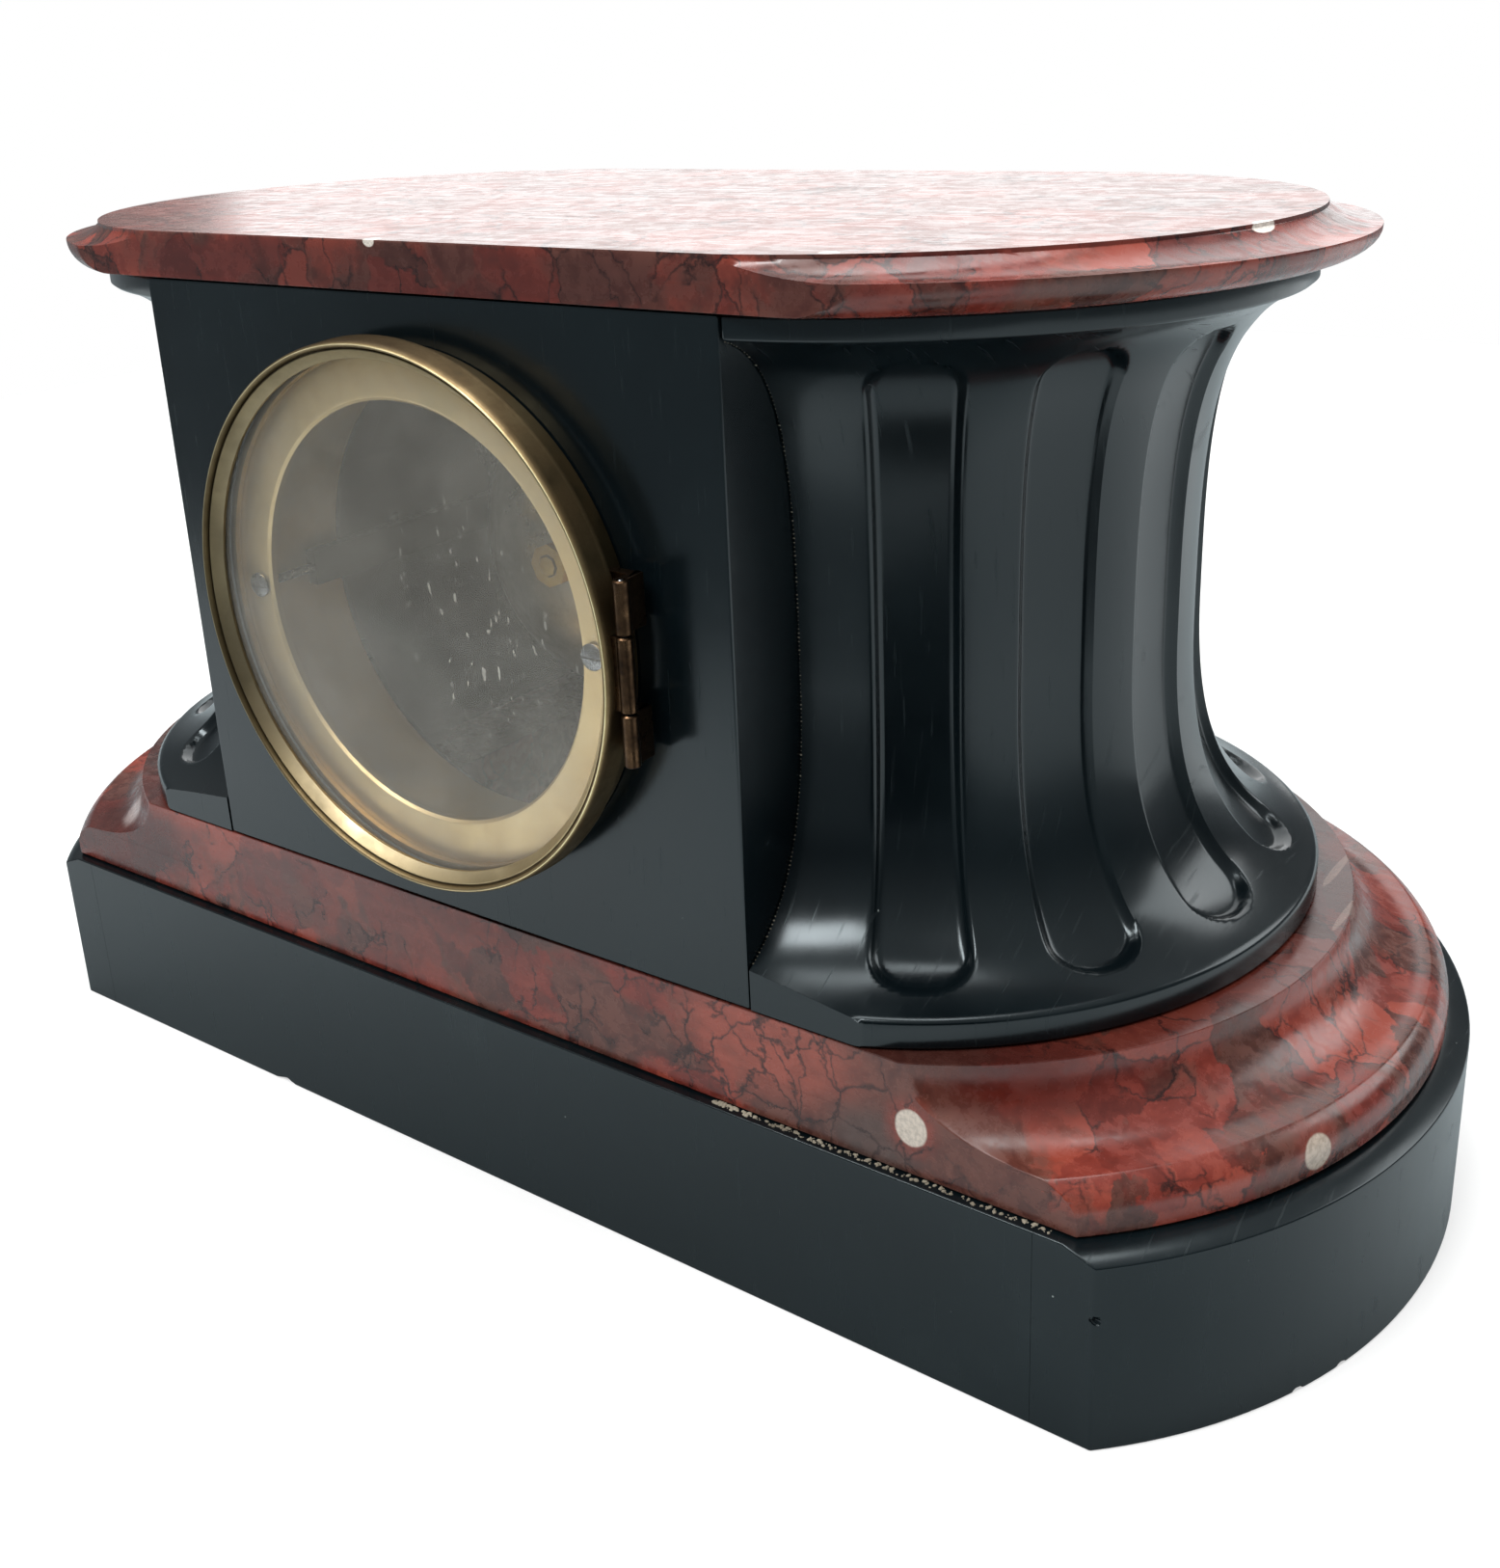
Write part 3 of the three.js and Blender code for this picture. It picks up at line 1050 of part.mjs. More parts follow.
function buildGoingTrain(movement) {
  addTo(movement, 'going_barrel', barrel(GOING_BARREL), 'brass');
  addTo(movement, 'going_mainspring', mainspring(GOING_BARREL), 'bluedSteel');
  addTo(movement, 'going_winding_arbor', windingArbor(GOING_BARREL, BACK_PLATE_OUTER), 'steel');
  const great = inside(GREAT_WHEEL_PLACE) - 1;
  const centre = inside(CENTRE_WHEEL_PLACE);
  const third = inside(THIRD_WHEEL_PLACE);
  const escape = inside(ESCAPE_WHEEL_PLACE);
  const cannon = [CANNON_PINION, PLATE_SETBACK - JOINT - PINION_LENGTH, PLATE_SETBACK - JOINT];
  const centreDiscs = [[CENTRE_PINION, great, great + PINION_LENGTH], cannon];
  addTo(movement, 'centre_wheel', join(
    arbor(CENTRE, centreDiscs, -HAND_STACK),
    toothedWheel(CENTRE_WHEEL, 26, CENTRE, centre),
  ), 'brass');
  addTo(movement, 'third_wheel', join(
    arbor(THIRD, [[THIRD_PINION, centre - 1, centre - 1 + PINION_LENGTH]]),
    toothedWheel(THIRD_WHEEL, 24, THIRD, third),
  ), 'brass');
  addTo(movement, 'escape_wheel', join(
    arbor(ESCAPE, [[ESCAPE_PINION, third - 1, third - 1 + PINION_LENGTH]]),
    toothedWheel(ESCAPE_WHEEL, 16, ESCAPE, escape),
  ), 'brass');
  addTo(movement, 'anchor', anchor(), 'steel');
  addTo(movement, 'crutch', crutch(), 'steel');
  const minuteWheel = PLATE_SETBACK - JOINT - PINION_LENGTH + 1;
  const hourWheel = minuteWheel - JOINT - PINION_LENGTH;
  addTo(movement, 'minute_wheel', join(
    arbor(MINUTE_STUD, [[MINUTE_WHEEL_PINION, hourWheel - 1, minuteWheel]], hourWheel - 1, FRONT_PLATE_INNER),
    toothedWheel(MINUTE_WHEEL, 22, MINUTE_STUD, minuteWheel),
  ), 'brass');
  const bore = ARBOR_RADIUS + FIT;
  const pipe = CANNON_PINION + HOUR_PIPE_WALL - FIT;
  addTo(movement, 'hour_wheel', join(
    turnedRing([
      [bore, hourWheel],
      [pipe, hourWheel],
      [pipe, HOUR_HAND_BACK - HAND_THICK],
      [bore, HOUR_HAND_BACK - HAND_THICK],
    ], 12),
    toothedWheel(HOUR_WHEEL, 24, CENTRE, hourWheel, [pivotHole(CENTRE)]),
  ), 'brass');
}

function buildPendulum(movement) {
  const { x } = ANCHOR_PIVOT;
  addTo(movement, 'suspension_cock', suspensionCock(), 'brass');
  const spring = block(
    [x - SPRING_HALF, PENDULUM_PLANE - SPRING_THICK / 2, ROD_TOP + JOINT],
    [x + SPRING_HALF, PENDULUM_PLANE + SPRING_THICK / 2, SPRING_TOP],
  );
  addTo(movement, 'suspension_spring', spring, 'steel');
  addTo(movement, 'pendulum_rod', uprightBar(ROD_RADIUS, ROD_FOOT, ROD_TOP), 'steel');
  addTo(movement, 'pendulum_bob', pendulumBob(), 'brass');
  addTo(movement, 'rating_nut', ratingNut(), 'brass');
}

function buildStrike(movement) {
  addTo(movement, 'strike_barrel', barrel(STRIKE_BARREL), 'brass');
  addTo(movement, 'strike_mainspring', mainspring(STRIKE_BARREL), 'bluedSteel');
  const count = BACK_PLATE_OUTER + JOINT;
  const arborBack = count + WHEEL_THICK + JOINT;
  addTo(movement, 'strike_winding_arbor', windingArbor(STRIKE_BARREL, arborBack), 'steel');
  const great = inside(GREAT_WHEEL_PLACE) - 1;
  const pin = inside(PIN_WHEEL_PLACE);
  addTo(movement, 'pin_wheel', join(
    arbor(PIN_WHEEL_ARBOR, [[PIN_WHEEL_PINION, great, great + PINION_LENGTH]]),
    toothedWheel(PIN_WHEEL, 20, PIN_WHEEL_ARBOR, pin),
  ), 'brass');
  addTo(movement, 'fly', fly(), 'brass');
  const countWheel = toothedWheel(COUNT_WHEEL, 12, STRIKE_BARREL, count, [pivotHole(STRIKE_BARREL, WINDING_RADIUS)]);
  addTo(movement, 'count_wheel', countWheel, 'brass');
  addTo(movement, 'hammer', hammer(), 'steel');
  addTo(movement, 'bell_stand', bellStand(), 'brass');
  addTo(movement, 'bell', bell(), 'bellMetal');
  addTo(movement, 'bell_nut', bellNut(), 'brass');
}

function buildMovement() {
  const movement = new THREE.Group();
  movement.position.set(0, BODY_FRONT, DIAL_CENTRE);
  clock.add(movement);
  buildDial(movement);
  buildPlates(movement);
  buildGoingTrain(movement);
  buildPendulum(movement);
  buildStrike(movement);
}

buildCase();
buildBackDoor();
buildFrontDoor();
buildMovement();

export default clock;
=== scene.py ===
"""Looks of a mantel clock in black slate and red marble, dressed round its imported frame.

Blender 4.5. The frame is in metres: +Z is up, the dial faces -Y and the glazed back faces +Y,
towards the camera. Sizes below are millimetres in that frame.
"""

from __future__ import annotations

import json
import logging
import math
from dataclasses import dataclass
from enum import Enum
from typing import Sequence

import bmesh
import bpy
from mathutils import Euler, Matrix, Vector, noise

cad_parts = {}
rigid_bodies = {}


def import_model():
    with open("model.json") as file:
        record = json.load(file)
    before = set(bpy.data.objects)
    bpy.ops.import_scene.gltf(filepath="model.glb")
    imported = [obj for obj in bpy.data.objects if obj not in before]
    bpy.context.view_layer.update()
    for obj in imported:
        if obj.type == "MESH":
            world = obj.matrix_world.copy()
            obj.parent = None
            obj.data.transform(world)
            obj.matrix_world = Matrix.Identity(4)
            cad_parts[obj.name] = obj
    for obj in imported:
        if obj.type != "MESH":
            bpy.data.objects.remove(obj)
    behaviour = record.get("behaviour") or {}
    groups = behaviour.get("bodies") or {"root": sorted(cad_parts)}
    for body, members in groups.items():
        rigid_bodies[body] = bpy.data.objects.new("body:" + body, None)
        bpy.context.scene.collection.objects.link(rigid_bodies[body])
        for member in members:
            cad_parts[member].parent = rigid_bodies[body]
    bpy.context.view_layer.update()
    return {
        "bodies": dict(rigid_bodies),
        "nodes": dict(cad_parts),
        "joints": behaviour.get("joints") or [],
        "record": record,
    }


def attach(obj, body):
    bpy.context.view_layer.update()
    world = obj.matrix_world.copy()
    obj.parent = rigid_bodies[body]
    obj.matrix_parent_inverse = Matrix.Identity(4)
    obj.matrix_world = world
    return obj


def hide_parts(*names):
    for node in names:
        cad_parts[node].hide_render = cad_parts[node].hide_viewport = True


LOG = logging.getLogger("mantel_clock")
MM = 0.001
PHOTO_WIDTH = 1556
PHOTO_HEIGHT = 1626
BODY_MIDDLE = 1.0
BODY_BACK = 73.25
BODY_FRONT = -71.25
DIAL_CENTRE = 119.1
PLACE_LAYER = "place"
MERGE_REACH = 0.002
ACROSS = Vector((1, 0, 0))
OUTWARDS = Vector((0, 1, 0))
UPWARDS = Vector((0, 0, 1))

Piece = bpy.types.Object
Tree = bpy.types.NodeTree
Socket = bpy.types.NodeSocket
Material = bpy.types.Material
Flat = tuple[float, float]
Inputs = dict[str | int, object]


class Rides(Enum):
    """Bodies of the frame that the dressed pieces ride on."""

    CASE = "case"
    BACK_DOOR = "back_door"
    FRONT_DOOR = "front_door"
    MINUTE = "minute"
    HOUR = "hour"


class Slot(Enum):
    """Material slots of the record."""

    SLATE = "slate"
    MARBLE = "marble"
    BRASS = "brass"
    GLASS = "glass"
    ENAMEL = "enamel"
    STEEL = "steel"
    BLUED_STEEL = "blued_steel"
    BELL_METAL = "bell_metal"


class Side(Enum):
    """Ends of the clock, as the sign of X."""

    LEFT = -1
    RIGHT = 1


class Facing(Enum):
    """Faces of the clock that carry a round door, as the sign of Y."""

    BACK = 1
    FRONT = -1


def blend(a: float, b: float, share: float) -> float:
    """Returns the value that lies that share of the way from a to b."""
    return a + (b - a) * share


def linear(colour: str) -> tuple[float, float, float, float]:
    """Turns an sRGB hex colour to linear.

    Args:
        colour: Six hex digits after a #.

    Returns:
        Linear red, green and blue, and an alpha of 1.
    """
    parts = [int(colour[i : i + 2], 16) / 255 for i in (1, 3, 5)]
    red, green, blue = (p / 12.92 if p <= 0.04045 else ((p + 0.055) / 1.055) ** 2.4 for p in parts)
    return red, green, blue, 1.0


def per_metre(size: float) -> float:
    """Returns the pattern scale whose features are that many millimetres across."""
    return 1 / (size * MM)


def add_node(
    tree: Tree,
    kind: str,
    inputs: Inputs | None = None,
    stops: Sequence[tuple[float, str]] = (),
    **settings: object,
) -> bpy.types.Node:
    """Adds a shader node with its settings and links.

    Args:
        tree: Node tree of a material or the world.
        kind: Blender's name for the node, without ShaderNode in front.
        inputs: Values, or output sockets to link, by the input's name or number.
        stops: Places and hex colours of a colour ramp.
        settings: Attributes of the node.

    Returns:
        The node.
    """
    node = tree.nodes.new(f"ShaderNode{kind}")
    for name, value in settings.items():
        setattr(node, name, value)
    for key, value in (inputs or {}).items():
        if isinstance(value, Socket):
            tree.links.new(value, node.inputs[key])
        else:
            node.inputs[key].default_value = value
    for i, (place, colour) in enumerate(stops):
        ramp = node.color_ramp.elements
        stop = ramp[i] if i < 2 else ramp.new(place)
        stop.position = place
        stop.color = linear(colour)
    return node


class Bench:
    """Modelling steps, each on one piece and made with Blender's own operators."""

    @staticmethod
    def clear() -> None:
        """Goes back to object mode and deselects everything."""
        if bpy.context.mode != "OBJECT":
            bpy.ops.object.mode_set(mode="OBJECT")
        bpy.ops.object.select_all(action="DESELECT")

    @staticmethod
    def pick(piece: Piece) -> None:
        """Makes a piece the only selected and the active object.

        Args:
            piece: The piece.
        """
        Bench.clear()
        piece.select_set(True)
        bpy.context.view_layer.objects.active = piece

    @staticmethod
    def edit(piece: Piece) -> None:
        """Opens a piece in edit mode with all of it selected.

        Args:
            piece: The piece.
        """
        Bench.pick(piece)
        bpy.ops.object.mode_set(mode="EDIT")
        bpy.ops.mesh.select_all(action="SELECT")

    @staticmethod
    def close() -> None:
        """Merges the doubles of the piece in edit mode, turns its faces outwards and leaves edit mode."""
        bpy.ops.mesh.select_all(action="SELECT")
        bpy.ops.mesh.remove_doubles(threshold=MERGE_REACH * MM)
        bpy.ops.mesh.normals_make_consistent(inside=False)
        bpy.ops.object.mode_set(mode="OBJECT")

    @staticmethod
    def named(name: str) -> Piece:
        """Names the active piece and its mesh.

        Args:
            name: Name of the piece.

        Returns:
            The piece.
        """
        piece = bpy.context.active_object
        piece.name = name
        piece.data.name = name
        return piece

    @staticmethod
    def outline(name: str, points: Sequence[Vector], filled: bool) -> Piece:
        """Starts a piece as a closed line.

        Args:
            name: Name of the piece.
            points: Corners in order, in metres.
            filled: Whether the line bounds a face.

        Returns:
            The piece, with the number of each corner in a vertex layer.
        """
        Bench.clear()
        bpy.ops.mesh.primitive_circle_add(vertices=len(points), fill_type="NGON" if filled else "NOTHING")
        piece = Bench.named(name)
        layer = piece.data.attributes.new(PLACE_LAYER, "INT", "POINT")
        for i, point in enumerate(points):
            piece.data.vertices[i].co = point
            layer.data[i].value = i
        return piece

    @staticmethod
    def forget_places(piece: Piece) -> None:
        """Takes the layer of corner numbers off a finished piece."""
        piece.data.attributes.remove(piece.data.attributes[PLACE_LAYER])

    @staticmethod
    def loft(name: str, rings: Sequence[Sequence[Vector]]) -> Piece:
        """Extrudes a face through rings of equal counts.

        Args:
            name: Name of the piece.
            rings: Corners of each level, in metres.

        Returns:
            The closed piece.
        """
        piece = Bench.outline(name, rings[0], filled=True)
        Bench.edit(piece)
        for ring in rings[1:]:
            bpy.ops.mesh.extrude_region_move()
            mesh = bmesh.from_edit_mesh(piece.data)
            place = mesh.verts.layers.int[PLACE_LAYER]
            for vertex in mesh.verts:
                if vertex.select:
                    vertex.co = ring[vertex[place]]
            bmesh.update_edit_mesh(piece.data)
        Bench.close()
        Bench.forget_places(piece)
        return piece

    @staticmethod
    def spin(
        name: str,
        profile: Sequence[Vector],
        centre: Vector,
        axis: Vector,
        steps: int = 128,
        turn: float = math.tau,
    ) -> Piece:
        """Turns a closed profile about an axis, as on a lathe.

        Args:
            name: Name of the piece.
            profile: Corners of the section, in metres.
            centre: A point of the axis.
            axis: Direction of the axis.
            steps: Faces round the turn.
            turn: Angle of the turn.

        Returns:
            The piece, still with its corner numbers.
        """
        piece = Bench.outline(name, profile, filled=False)
        Bench.edit(piece)
        bpy.ops.mesh.spin(steps=steps, angle=turn, center=centre, axis=axis)
        Bench.close()
        return piece

    @staticmethod
    def turned(
        name: str, section: Sequence[Flat], centre: Sequence[float], axis: Vector, steps: int
    ) -> Piece:
        """Turns a section all the way round.

        Args:
            name: Name of the piece.
            section: Closed section as (radius, distance along the axis), in millimetres.
            centre: Where the axis starts, in millimetres.
            axis: Unit direction of the axis, upwards or outwards.
            steps: Faces round the turn.

        Returns:
            The piece.
        """
        start = Vector(centre) * MM
        profile = [start + (ACROSS * radius + axis * along) * MM for radius, along in section]
        piece = Bench.spin(name, profile, start, axis, steps)
        Bench.forget_places(piece)
        return piece

    @staticmethod
    def saw(piece: Piece, point: Vector, outwards: Vector) -> None:
        """Cuts off what lies beyond a plane and closes the cut.

        Args:
            piece: Piece to cut.
            point: A point of the plane.
            outwards: Direction of the side that falls off.
        """
        Bench.edit(piece)
        bpy.ops.mesh.bisect(plane_co=point, plane_no=outwards, use_fill=True, clear_outer=True)
        Bench.close()

    @staticmethod
    def block(name: str, low: Sequence[float], high: Sequence[float]) -> Piece:
        """Adds a box.

        Args:
            name: Name of the piece.
            low: Its lowest corner, in millimetres.
            high: Its highest corner.

        Returns:
            The piece.
        """
        Bench.clear()
        middle = (Vector(low) + Vector(high)) / 2 * MM
        bpy.ops.mesh.primitive_cube_add(size=1, location=middle, scale=(Vector(high) - Vector(low)) * MM)
        bpy.ops.object.transform_apply(location=True, rotation=True, scale=True)
        return Bench.named(name)

    @staticmethod
    def rod(
        name: str, radius: float, start: Sequence[float], length: float, axis: Vector, steps: int = 24
    ) -> Piece:
        """Adds a round bar.

        Args:
            name: Name of the piece.
            radius: Radius in millimetres.
            start: Middle of its first end, in millimetres.
            length: Length in millimetres.
            axis: Unit direction.
            steps: Faces round the bar.

        Returns:
            The piece.
        """
        Bench.clear()
        turn = UPWARDS.rotation_difference(axis).to_euler()
        middle = (Vector(start) + axis * (length / 2)) * MM
        bpy.ops.mesh.primitive_cylinder_add(
            vertices=steps, radius=radius * MM, depth=length * MM, location=middle, rotation=turn
        )
        bpy.ops.object.transform_apply(location=True, rotation=True, scale=True)
        return Bench.named(name)

    @staticmethod
    def apply(piece: Piece, kind: str, **settings: object) -> None:
        """Adds a modifier to a piece and applies it.

        Args:
            piece: The piece.
            kind: Blender's name for the modifier.
            settings: Attributes of the modifier.
        """
        Bench.pick(piece)
        modifier = piece.modifiers.new(kind.lower(), kind)
        for name, value in settings.items():
            setattr(modifier, name, value)
        bpy.ops.object.modifier_apply(modifier=modifier.name)

    @staticmethod
    def carve(piece: Piece, cutter: Piece) -> None:
        """Takes a cutter's shape out of a piece and throws the cutter away."""
        Bench.apply(piece, "BOOLEAN", operation="DIFFERENCE", solver="EXACT", object=cutter)
        bpy.data.objects.remove(cutter)

    @staticmethod
    def weld(piece: Piece, other: Piece) -> None:
        """Makes one body of a piece and another, which is used up."""
        Bench.apply(piece, "BOOLEAN", operation="UNION", solver="EXACT", object=other)
        bpy.data.objects.remove(other)

    @staticmethod
    def ease(piece: Piece, width: float, segments: int = 2, angle: float = 35) -> None:
        """Rounds the sharp edges of a piece.

        Args:
            piece: The piece.
            width: Width of the rounding, in millimetres.
            segments: Faces across the rounding.
            angle: Least turn of a sharp edge, in degrees.
        """
        Bench.apply(
            piece,
            "BEVEL",
            width=width * MM,
            segments=segments,
            limit_method="ANGLE",
            angle_limit=math.radians(angle),
            miter_outer="MITER_ARC",
        )

    @staticmethod
    def smooth(piece: Piece, angle: float = 35) -> None:
        """Shades a piece smooth, with its broad faces kept flat.

        Args:
            piece: The piece.
            angle: Least turn of an edge that stays sharp, in degrees.
        """
        Bench.pick(piece)
        bpy.ops.object.shade_smooth_by_angle(angle=math.radians(angle))
        Bench.apply(piece, "WEIGHTED_NORMAL", keep_sharp=True, weight=80)

    @staticmethod
    def scatter(name: str, model: Piece, places: Sequence[Matrix]) -> Piece:
        """Copies a model to many places and throws the model away.

        Args:
            name: Name of the piece.
            model: What to copy.
            places: Place, turn and scale of each copy, in metres.

        Returns:
            One object that holds all copies as separate shells.
        """
        copies = []
        for place in places:
            mesh = model.data.copy()
            mesh.transform(place)
            copies.append(bpy.data.objects.new(name, mesh))
            bpy.context.scene.collection.objects.link(copies[-1])
        bpy.data.objects.remove(model)
        return Bench.join(name, copies)

    @staticmethod
    def join(name: str, pieces: Sequence[Piece]) -> Piece:
        """Puts pieces that stay separate shells into one object.

        Args:
            name: Name of the object.
            pieces: What to join; they are used up.

        Returns:
            The object.
        """
        Bench.pick(pieces[0])
        for piece in pieces[1:]:
            piece.select_set(True)
        bpy.ops.object.join()
        return Bench.named(name)


@dataclass(frozen=True)
class Finish:
    """A surface finish that the pieces share."""

    title: str

    def made(self) -> Material:
        """Returns the finish's material, which is made when it is first asked for."""
        return bpy.data.materials.get(self.title) or self.material()

    def start(self) -> tuple[Material, Tree, Socket]:
        """Opens a material.

        Returns:
            The material, its tree, and the object coordinates to read patterns from.
        """
        material = bpy.data.materials.new(self.title)
        material.use_nodes = True
        tree = material.node_tree
        tree.nodes.clear()
        return material, tree, add_node(tree, "TexCoord").outputs["Object"]

    def close(self, tree: Tree, inputs: Inputs) -> None:
        """Ends a tree with the shader, its inputs and the output."""
        shader = add_node(tree, "BsdfPrincipled", inputs)
        add_node(tree, "OutputMaterial", {"Surface": shader.outputs["BSDF"]})

    def material(self) -> Material:
        """Makes the material; each finish has its own."""
        raise NotImplementedError


@dataclass(frozen=True)
class HonedSlate(Finish):
    """Black slate, sawn, rubbed smooth and oiled: near black, a blunt shine, scratches and pale dust."""

    body: str = "#070d10"
    cloud: str = "#0a1215"
    bloom: str = "#151c1e"
    dust: str = "#7d8480"
    sheen: str = "#e6f3f7"
    cloud_size: float = 46.0
    # Real hair scratches are too fine to show, so they are drawn coarser
    scratch_size: float = 0.7
    scratch_depth: float = 0.03
    scratch_share: float = 0.26
    speck_spacing: float = 6.0
    speck_size: float = 0.5
    speck_share: float = 0.4
    roughness: Flat = (0.15, 0.26)
    shine: float = 0.42

    def material(self) -> Material:
        """Makes the material.

        Returns:
            Slate with cloudy tone, a worn bloom, scratches and specks.
        """
        material, tree, coords = self.start()
        clouds = add_node(
            tree,
            "TexNoise",
            {"Vector": coords, "Scale": per_metre(self.cloud_size), "Detail": 6.0, "Roughness": 0.62},
        ).outputs["Fac"]
        tones = ((0.36, self.body), (0.62, self.cloud), (0.8, self.bloom))
        colour = add_node(tree, "ValToRGB", {0: clouds}, tones).outputs[0]
        # Long thin scratches from handling: noise squeezed hard across a slanting direction
        turned = add_node(
            tree, "Mapping", {"Vector": coords, "Rotation": (0.35, 0.5, 0.9), "Scale": (1.0, 0.06, 0.06)}
        )
        scratches = add_node(
            tree,
            "TexNoise",
            {"Vector": turned.outputs[0], "Scale": per_metre(self.scratch_size), "Detail": 2.0},
        ).outputs["Fac"]
        scratched = add_node(
            tree, "MapRange", {0: scratches, 1: 0.63, 2: 0.76, 3: 0.0, 4: self.scratch_share}
        ).outputs[0]
        for mask, over in ((scratched, self.bloom), (self.specks(tree, coords), self.dust)):
            colour = add_node(
                tree, "Mix", {0: mask, 6: colour, 7: linear(over)}, data_type="RGBA"
            ).outputs[2]
        low, high = self.roughness
        polish = add_node(tree, "MapRange", {0: clouds, 1: 0.3, 2: 0.7, 3: low, 4: high})
        rubbed = add_node(
            tree, "Math", {0: scratched, 1: 0.5, 2: polish.outputs[0]}, operation="MULTIPLY_ADD"
        )
        relief = add_node(
            tree, "Bump", {"Height": scratches, "Strength": 0.2, "Distance": self.scratch_depth * MM}
        )
        self.close(
            tree,
            {
                "Base Color": colour,
                "Roughness": rubbed.outputs[0],
                "Normal": relief.outputs[0],
                "IOR": 1.5,
                "Specular IOR Level": self.shine,
                "Specular Tint": linear(self.sheen),
            },
        )
        return material

    def specks(self, tree: Tree, coords: Socket) -> Socket:
        """Scatters small round specks of dust.

        Args:
            tree: The material's tree.
            coords: Object coordinates.

        Returns:
            A mask that is 1 in the specks.
        """
        cells = add_node(
            tree,
            "TexVoronoi",
            {"Vector": coords, "Scale": per_metre(self.speck_spacing), "Randomness": 1.0},
        )
        draw = add_node(tree, "SeparateColor", {0: cells.outputs["Color"]})
        largest = self.speck_size / self.speck_spacing / 2
        reach = add_node(
            tree, "MapRange", {0: draw.outputs[0], 1: 1 - self.speck_share, 2: 1.0, 3: 0.0, 4: largest}
        )
        inside = add_node(
            tree, "Math", {0: reach.outputs[0], 1: cells.outputs["Distance"]}, operation="SUBTRACT"
        )
        return add_node(tree, "MapRange", {0: inside.outputs[0], 1: 0.0, 2: largest / 3}).outputs[0]


@dataclass(frozen=True)
class Patch:
    """A soft coloured patch in the marble, or of painted shade on it: its middle in millimetres, its reach
    and its colour.
    """

    middle: tuple[float, float, float]
    reach: tuple[float, float, float]
    colour: str
    strength: float


